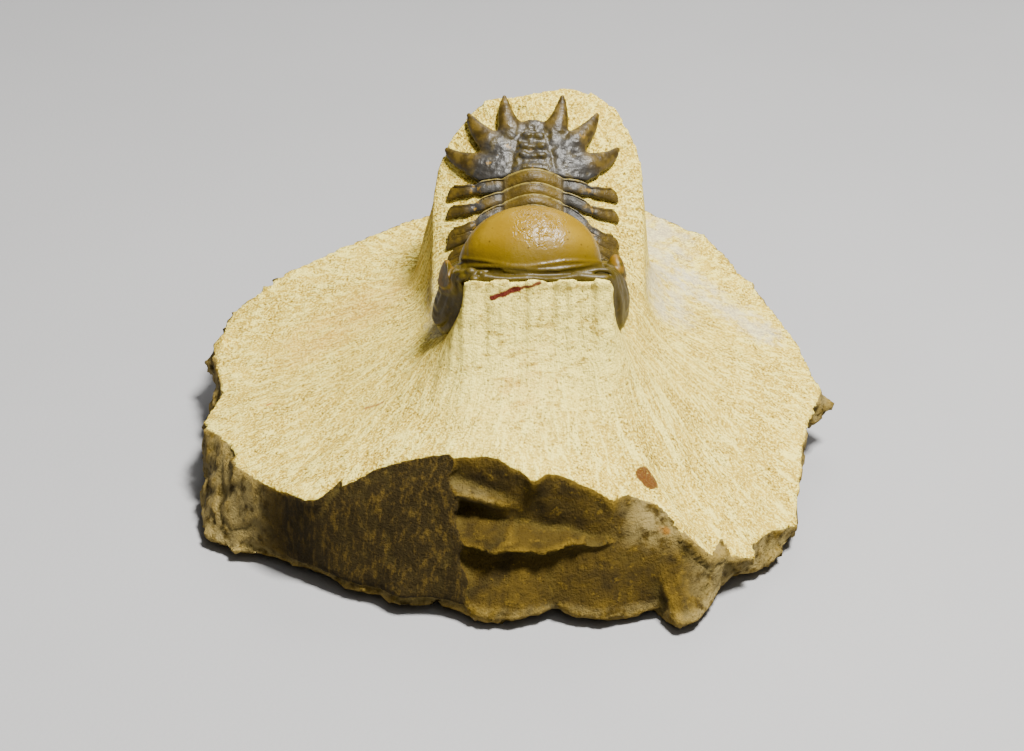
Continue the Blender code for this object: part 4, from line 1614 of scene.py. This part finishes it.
@dataclass(frozen=True)
class LimestoneFinish:
    """Pale cream limestone, gritty where it was ground and brown where it was broken, with painted shade and
    painted light.
    """

    cream: Colour = srgb(204, 174, 62)
    pale: Colour = srgb(246, 228, 118)
    tan: Colour = srgb(156, 126, 36)
    chalk: Colour = srgb(184, 164, 104)
    fleck: Colour = srgb(66, 54, 12)
    # The broken faces' browns, joint colours included, are partly the rock's own brown and the joint's dark
    # patina, and partly painted shade.
    ochre: Colour = srgb(62, 48, 8)
    broken_dark: Colour = srgb(40, 30, 4)
    joint: Colour = srgb(38, 29, 5)
    joint_light: Colour = srgb(76, 60, 18)
    # Painted shade: the colour that hollows and creases are darkened towards.
    crease_shade: Colour = srgb(88, 76, 30)
    orange: Colour = srgb(206, 156, 62)
    grey: Colour = srgb(208, 205, 190)
    stains: tuple[Stain, ...] = (
        Stain((-3.2, -16.9, 44.1), (1.0, -16.7, 45.4), 0.3, 0.3, srgb(92, 34, 22), 1.0, 0.1),
        Stain((1.0, -16.7, 45.4), (4.4, -16.6, 46.5), 0.12, 0.3, srgb(92, 34, 22), 0.95, 0.1),
        Stain((-24.3, -14.0, 21.9), (-21.4, -15.0, 23.6), 0.15, 0.4, srgb(128, 74, 40), 0.7),
        Stain((21.3, -31.8, 20.1), (22.1, -32.4, 19.5), 1.4, 0.4, srgb(72, 22, 9), 0.92),
        Stain((-41.8, -1.8, 15.2), (-41.2, -1.6, 15.2), 0.2, 0.4, srgb(176, 96, 34), 0.8),
        Stain((23.6, -39.6, 14.9), (24.4, -39.4, 14.4), 0.3, 0.7, srgb(118, 74, 8), 0.8),
    )
    tints: tuple[Stain, ...] = (
        Stain((-36.0, 17.0, 16.9), (-24.3, 22.0, 22.0), 2.0, 9.0, orange, 0.35),
        Stain((4.0, -24.0, 36.0), (0.0, -27.0, 33.0), 1.5, 5.0, orange, 0.35),
        Stain((26.8, 46.0, 24.7), (26.0, 18.0, 25.0), 3.0, 6.0, grey, 0.45),
        Stain((32.3, 32.4, 21.3), (44.5, 23.1, 16.1), 1.5, 4.0, grey, 0.45),
        Stain((-12.0, 12.0, 30.0), (-11.0, -2.0, 30.0), 1.0, 4.0, grey, 0.4),
    )

    def ground(self, mix: Recipe, fine: Socket, fibre: Socket) -> Socket:
        """The colour of the ground faces: blotches, grit, short strokes, specks and two tints.

        Args:
            mix: The recipe to add to.
            fine: Fine noise.
            fibre: Noise in short strokes.

        Returns:
            The colour.
        """
        blotches = mix.noise(3.2, 3.0, 0.6)
        colour = mix.blend(mix.patches(0.4, 0.62, 9.0, 3.0), self.cream, self.tan, 0.35)
        colour = mix.blend(mix.between(blotches, 0.5, 0.7), colour, self.tan, 0.32)
        colour = mix.blend(mix.between(fibre, 0.5, 0.6), colour, self.pale, 0.8)
        colour = mix.blend(mix.between(fine, 0.52, 0.58), colour, self.pale, 0.85)
        flecked = mix.ranged(mix.patches(0.38, 0.6, 4.5, 3.0), 0.4, 0.6)
        colour = mix.blend(mix.product(mix.between(fine, 0.47, 0.35), flecked), colour, self.fleck, 0.85)
        # Painted light: the pillar's front is painted paler, standing in for the light that falls on it.
        bands = mix.noise(1.7, 4.0, 0.7, mix.stretched(mix.where, (0.55, 1.0, 1.3)))
        painted_lit_pillar = mix.blend(mix.between(bands, 0.53, 0.62), self.pale, self.tan, 0.7)
        painted_lit_pillar = mix.blend(mix.between(fine, 0.42, 0.33), painted_lit_pillar, self.fleck, 0.7)
        colour = mix.blend(mix.mark("pillar"), colour, painted_lit_pillar, 0.8)
        speck = mix.product(mix.between(mix.cells(1.5), 0.2, 0.08), mix.between(blotches, 0.42, 0.6))
        colour = mix.blend(speck, colour, self.fleck, 0.7)
        for tint in self.tints:
            colour = tint.laid_on(mix, colour, 9.0, mix.between(blotches, 0.3, 0.55))
        return colour

    def broken(self, mix: Recipe, fine: Socket) -> Socket:
        """The colour of the broken faces: brown darkened with painted shade, paler on edges as a painted
        highlight, and nearly black-brown on the joint.

        Args:
            mix: The recipe to add to.
            fine: Fine noise.

        Returns:
            The colour.
        """
        colour = mix.blend(mix.patches(0.4, 0.65, 6.0, 3.0, 0.6), self.ochre, self.broken_dark)
        colour = mix.blend(mix.patches(0.56, 0.74, 1.4, 3.0, 0.7), colour, self.tan, 0.25)
        chalky = mix.product(mix.mark("pale"), mix.patches(0.34, 0.56, 2.2, 4.0, 0.6))
        colour = mix.blend(chalky, colour, self.chalk, 0.75)
        # Painted highlight: sharp edges are paled towards tan.
        colour = mix.blend(mix.mark("edge"), colour, self.tan, 0.28)
        streaks = mix.noise(0.9, 3.0, 0.65, mix.stretched(mix.where, (1.0, 1.0, 0.3)))
        joint = mix.blend(mix.between(streaks, 0.45, 0.72), self.joint, self.joint_light)
        joint = mix.blend(mix.between(fine, 0.58, 0.72), joint, self.ochre, 0.6)
        return mix.blend(mix.between(mix.mark("joint"), 0.35, 0.65), colour, joint)

    def material(self) -> bpy.types.Material:
        """Lay out the limestone's nodes."""
        mix = Recipe("limestone", 0.9, 0.15)
        fine = mix.noise(0.42, 3.0, 0.7)
        fibre = mix.noise(0.7, 3.0, 0.65, mix.line("grain"))
        edge = mix.plus(mix.mark("broken"), mix.ranged(mix.noise(1.2, 3.0), -0.2, 0.4))
        ground, broken = self.ground(mix, fine, fibre), self.broken(mix, fine)
        colour = mix.blend(mix.between(edge, 0.44, 0.56), ground, broken)
        # Painted shade: hollows and creases are darkened, less so on the pillar's front.
        crease_shade_share = mix.product(mix.mark("hollow"), mix.ranged(mix.mark("pillar"), 1.0, -0.7))
        colour = mix.blend(crease_shade_share, colour, self.crease_shade, 0.45)
        for stain in self.stains:
            gaps = 0.22 if stain.width < 1.0 else 0.3
            colour = stain.laid_on(mix, colour, 0.7, mix.between(fine, gaps, gaps + 0.14))
        coarse = mix.relief(mix.noise(2.4, 4.0, 0.65), 0.5)
        scratched = mix.relief(fibre, 0.5, coarse)
        return mix.finished(colour, None, mix.relief(fine, 0.42, scratched))


@dataclass(frozen=True)
class HeadShellFinish:
    """Glossy ochre shell, darker and olive at the border, with orange eyes."""

    ochre: Colour = srgb(116, 90, 8)
    bright: Colour = srgb(138, 112, 24)
    olive: Colour = srgb(66, 55, 6)
    brown: Colour = srgb(46, 37, 6)
    eye: Colour = srgb(106, 78, 10)
    pin: Colour = srgb(60, 42, 14)
    rings_round: Place = (3.5, 1.0, 9.5)

    def shell_colour(self, mix: Recipe, globe: Socket) -> Socket:
        """The colour of the head: ochre on the globe, olive and brown round it, orange on the eyes."""
        colour = mix.blend(mix.patches(0.35, 0.7, 5.0, 3.0, 0.55), self.ochre, self.bright, 0.4)
        border = mix.blend(mix.patches(0.4, 0.65, 2.2, 3.0, 0.6), self.olive, self.brown)
        border = mix.blend(mix.patches(0.6, 0.75, 0.9, 2.0), border, self.bright, 0.4)
        colour = mix.blend(globe, border, colour)
        # The globe turns olive towards its foot: partly the shell's own olive, partly painted shade.
        colour = mix.blend(mix.mark("low"), colour, self.olive, 0.65)
        eye = mix.blend(mix.patches(0.4, 0.6, 1.6), self.olive, self.eye)
        colour = mix.blend(mix.mark("eye"), colour, eye, 0.85)
        pins = mix.product(mix.between(mix.cells(1.1), 0.19, 0.09), mix.patches(0.42, 0.56, 4.0))
        colour = mix.blend(pins, colour, self.pin, 0.85)
        # Painted shade: hollows and creases are darkened towards brown.
        return mix.blend(mix.mark("hollow"), colour, self.brown, 0.5)

    def wrinkles(self, mix: Recipe, globe: Socket) -> Socket:
        """Fine broken rings round one spot on the globe."""
        gap = mix.node("ShaderNodeVectorMath", operation="DISTANCE")
        mix.feed(gap.inputs[0], mix.line("flat"))
        mix.feed(gap.inputs[1], tuple(value * MM for value in self.rings_round))
        away = mix.product(gap.outputs["Value"], 1 / MM)
        ripple = mix.plus(mix.product(away, 7.0), mix.product(mix.noise(1.5, 2.0), 30.0))
        ring = mix.product(mix.maths("SINE", ripple), mix.between(away, 6.0, 2.5))
        return mix.product(ring, mix.patches(0.42, 0.6, 1.1, 2.0), globe)

    def material(self) -> bpy.types.Material:
        """Lay out the head shell's nodes."""
        mix = Recipe("head_shell", 0.3, 0.28)
        globe = mix.mark("globe")
        skin_relief = mix.relief(mix.noise(0.8, 3.0, 0.6), 0.08)
        normal = mix.relief(self.wrinkles(mix, globe), 0.06, skin_relief)
        roughness = mix.plus(mix.ranged(mix.noise(1.2, 3.0, 0.6), 0.2, 0.22), mix.ranged(globe, 0.12, -0.12))
        return mix.finished(self.shell_colour(mix, globe), roughness, normal)


@dataclass(frozen=True)
class BodyShellFinish:
    """Slate ribs with an ochre axis and tips, pale back edges and orange crusts."""

    slate: Colour = srgb(50, 48, 44)
    slate_pale: Colour = srgb(84, 83, 82)
    olive: Colour = srgb(80, 64, 14)
    tip: Colour = srgb(60, 48, 14)
    pale: Colour = srgb(140, 124, 62)
    crust: Colour = srgb(136, 104, 26)
    # Painted shade: the colour that hollows and creases are darkened towards.
    crease_shade: Colour = srgb(42, 34, 14)

    def material(self) -> bpy.types.Material:
        """Lay out the body shell's nodes."""
        mix = Recipe("body_shell", 0.35, 0.25)
        slate = mix.blend(mix.patches(0.5, 0.72, 1.8, 3.0, 0.6), self.slate, self.slate_pale, 0.6)
        slate = mix.blend(mix.patches(0.5, 0.68, 3.1, 2.0), slate, self.olive, 0.75)
        axis = mix.blend(mix.patches(0.4, 0.65, 2.5, 3.0), self.olive, self.tip)
        tip = mix.blend(mix.patches(0.4, 0.65, 1.6, 3.0), self.tip, self.olive)
        colour = mix.blend(mix.mark("axis"), slate, axis)
        colour = mix.blend(mix.mark("tip"), colour, tip)
        crust = mix.product(mix.mark("waist"), mix.patches(0.54, 0.62, 0.9, 2.0))
        colour = mix.blend(crust, colour, self.crust, 0.8)
        rim = mix.product(mix.mark("rim"), mix.patches(0.3, 0.5, 1.3, 3.0))
        colour = mix.blend(rim, colour, self.pale, 0.7)
        # Painted shade: hollows and creases are darkened.
        colour = mix.blend(mix.mark("hollow"), colour, self.crease_shade, 0.85)
        normal = mix.relief(mix.noise(0.55, 3.0, 0.6), 0.16)
        return mix.finished(colour, mix.ranged(mix.noise(0.9, 3.0), 0.3, 0.3), normal)


@dataclass(frozen=True)
class TailShellFinish:
    """Wrinkled slate shell with an olive axis and brown spines."""

    slate: Colour = srgb(43, 41, 38)
    slate_pale: Colour = srgb(76, 75, 76)
    olive: Colour = srgb(60, 50, 10)
    spine: Colour = srgb(78, 63, 22)
    spine_dark: Colour = srgb(50, 39, 11)
    crust: Colour = srgb(118, 90, 26)
    # Painted shade: the colour that hollows and creases are darkened towards.
    crease_shade: Colour = srgb(42, 35, 16)

    def material(self) -> bpy.types.Material:
        """Lay out the tail shell's nodes."""
        mix = Recipe("tail_shell", 0.33, 0.3)
        fold = mix.noise(1.3, 3.0, 0.6)
        slate = mix.blend(mix.between(fold, 0.5, 0.7), self.slate, self.slate_pale, 0.5)
        slate = mix.blend(mix.patches(0.52, 0.66, 2.6, 2.0), slate, self.olive, 0.7)
        axis = mix.blend(mix.between(fold, 0.4, 0.65), self.olive, self.slate)
        spine = mix.blend(mix.patches(0.38, 0.62, 1.5, 3.0), self.spine, self.spine_dark)
        colour = mix.blend(mix.mark("axis"), slate, axis, 0.85)
        colour = mix.blend(mix.mark("free"), colour, spine)
        colour = mix.blend(mix.patches(0.66, 0.72, 1.9, 2.0), colour, self.crust, 0.7)
        # Painted shade: hollows and creases are darkened.
        colour = mix.blend(mix.mark("hollow"), colour, self.crease_shade, 0.85)
        normal = mix.relief(mix.noise(0.8, 3.0, 0.6), 0.16)
        return mix.finished(colour, mix.ranged(mix.noise(0.9, 3.0), 0.24, 0.34), normal)


@dataclass(frozen=True)
class FloorFinish:
    """A plain pale board."""

    colour: Colour = srgb(150, 150, 153)

    def material(self) -> bpy.types.Material:
        """Lay out the board's nodes."""
        mix = Recipe("pale_board", 0.85)
        colour = mix.blend(mix.noise(60.0, 4.0), self.colour, tuple(share * 0.9 for share in self.colour))
        return mix.finished(colour, None, mix.relief(mix.noise(0.8, 2.0), 0.05))


# ---- the studio ----


@dataclass(frozen=True)
class Lamp:
    """A soft lamp that looks at the fossil.

    Args:
        name: Its name.
        place: Where it hangs, in metres.
        size: Its width in metres.
        power: Its power in watts.
        warmth: Its colour.
    """

    name: str
    place: Place
    size: float
    power: float
    warmth: Colour = (1.0, 1.0, 1.0)

    def hang(self, target: Vector) -> None:
        """Put the lamp in the scene."""
        data = bpy.data.lights.new(self.name, "AREA")
        data.size = self.size
        data.energy = self.power
        data.color = self.warmth
        lamp = bpy.data.objects.new(self.name, data)
        lamp.location = self.place
        lamp.rotation_euler = (target - lamp.location).to_track_quat("-Z", "Y").to_euler()
        bpy.context.scene.collection.objects.link(lamp)


@dataclass(frozen=True)
class Studio:
    """The board that the block lies on, soft lamps, and the camera."""

    board_side: float = 4.0
    tilt: float = math.radians(30)
    distance: float = 0.430
    focal_pixels: float = 2520
    frame_pixels: float = 1024
    target: Place = (0.0, 0.0, 0.020)
    ambient: float = 0.045
    lamps: tuple[Lamp, ...] = (
        Lamp("key", (0.16, -0.14, 0.58), 0.12, 14.8, (1.0, 0.98, 0.92)),
        Lamp("front", (0.06, -0.40, 0.48), 0.4, 0.7, (1.0, 0.98, 0.92)),
        Lamp("back", (0.06, 0.40, 0.46), 0.3, 1.6, (1.0, 0.99, 0.96)),
    )

    def build(self) -> None:
        """Make the board, the lamps and the camera."""
        half = self.board_side / 2
        mesh = bpy.data.meshes.new("board")
        corners = [(-half, -half, 0), (half, -half, 0), (half, half, 0), (-half, half, 0)]
        mesh.from_pydata(corners, [], [(0, 1, 2, 3)])
        board = bpy.data.objects.new("board", mesh)
        mesh.materials.append(FloorFinish().material())
        bpy.context.scene.collection.objects.link(board)
        target = Vector(self.target)
        for lamp in self.lamps:
            lamp.hang(target)
        world = bpy.data.worlds.new("studio")
        world.use_nodes = True
        world.node_tree.nodes["Background"].inputs["Color"].default_value = (1.0, 1.0, 1.0, 1.0)
        world.node_tree.nodes["Background"].inputs["Strength"].default_value = self.ambient
        bpy.context.scene.world = world
        data = bpy.data.cameras.new("camera")
        data.sensor_width = 36
        data.lens = self.focal_pixels / self.frame_pixels * data.sensor_width
        data.clip_start = 0.01
        camera = bpy.data.objects.new("camera", data)
        camera.location = target - Vector((0, math.cos(self.tilt), -math.sin(self.tilt))) * self.distance
        camera.rotation_euler = (math.pi / 2 - self.tilt, 0, 0)
        bpy.context.scene.collection.objects.link(camera)
        bpy.context.scene.camera = camera
        log.info("studio: %d lamps", len(self.lamps))


def main() -> None:
    """Build the block, the fossil's plates and the studio."""
    logging.basicConfig(level=logging.INFO, format="%(message)s")
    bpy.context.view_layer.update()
    LimestoneBlock(BODY).build(LimestoneFinish().material())
    HeadShield(BODY, "head_shield", "cephalon", Slot.HEAD).build(HeadShellFinish().material())
    body_finish = BodyShellFinish().material()
    for number in range(1, BODY.segment_count + 1):
        names = f"body_ring_{number:02d}", f"thorax_segment_{number:02d}"
        ThoraxSegment(BODY, *names, Slot.RIBS, number=number).build(body_finish)
    TailShield(BODY, "tail_shield", "pygidium", Slot.TAIL).build(TailShellFinish().material())
    Studio().build()


if __name__ == "__main__":
    main()
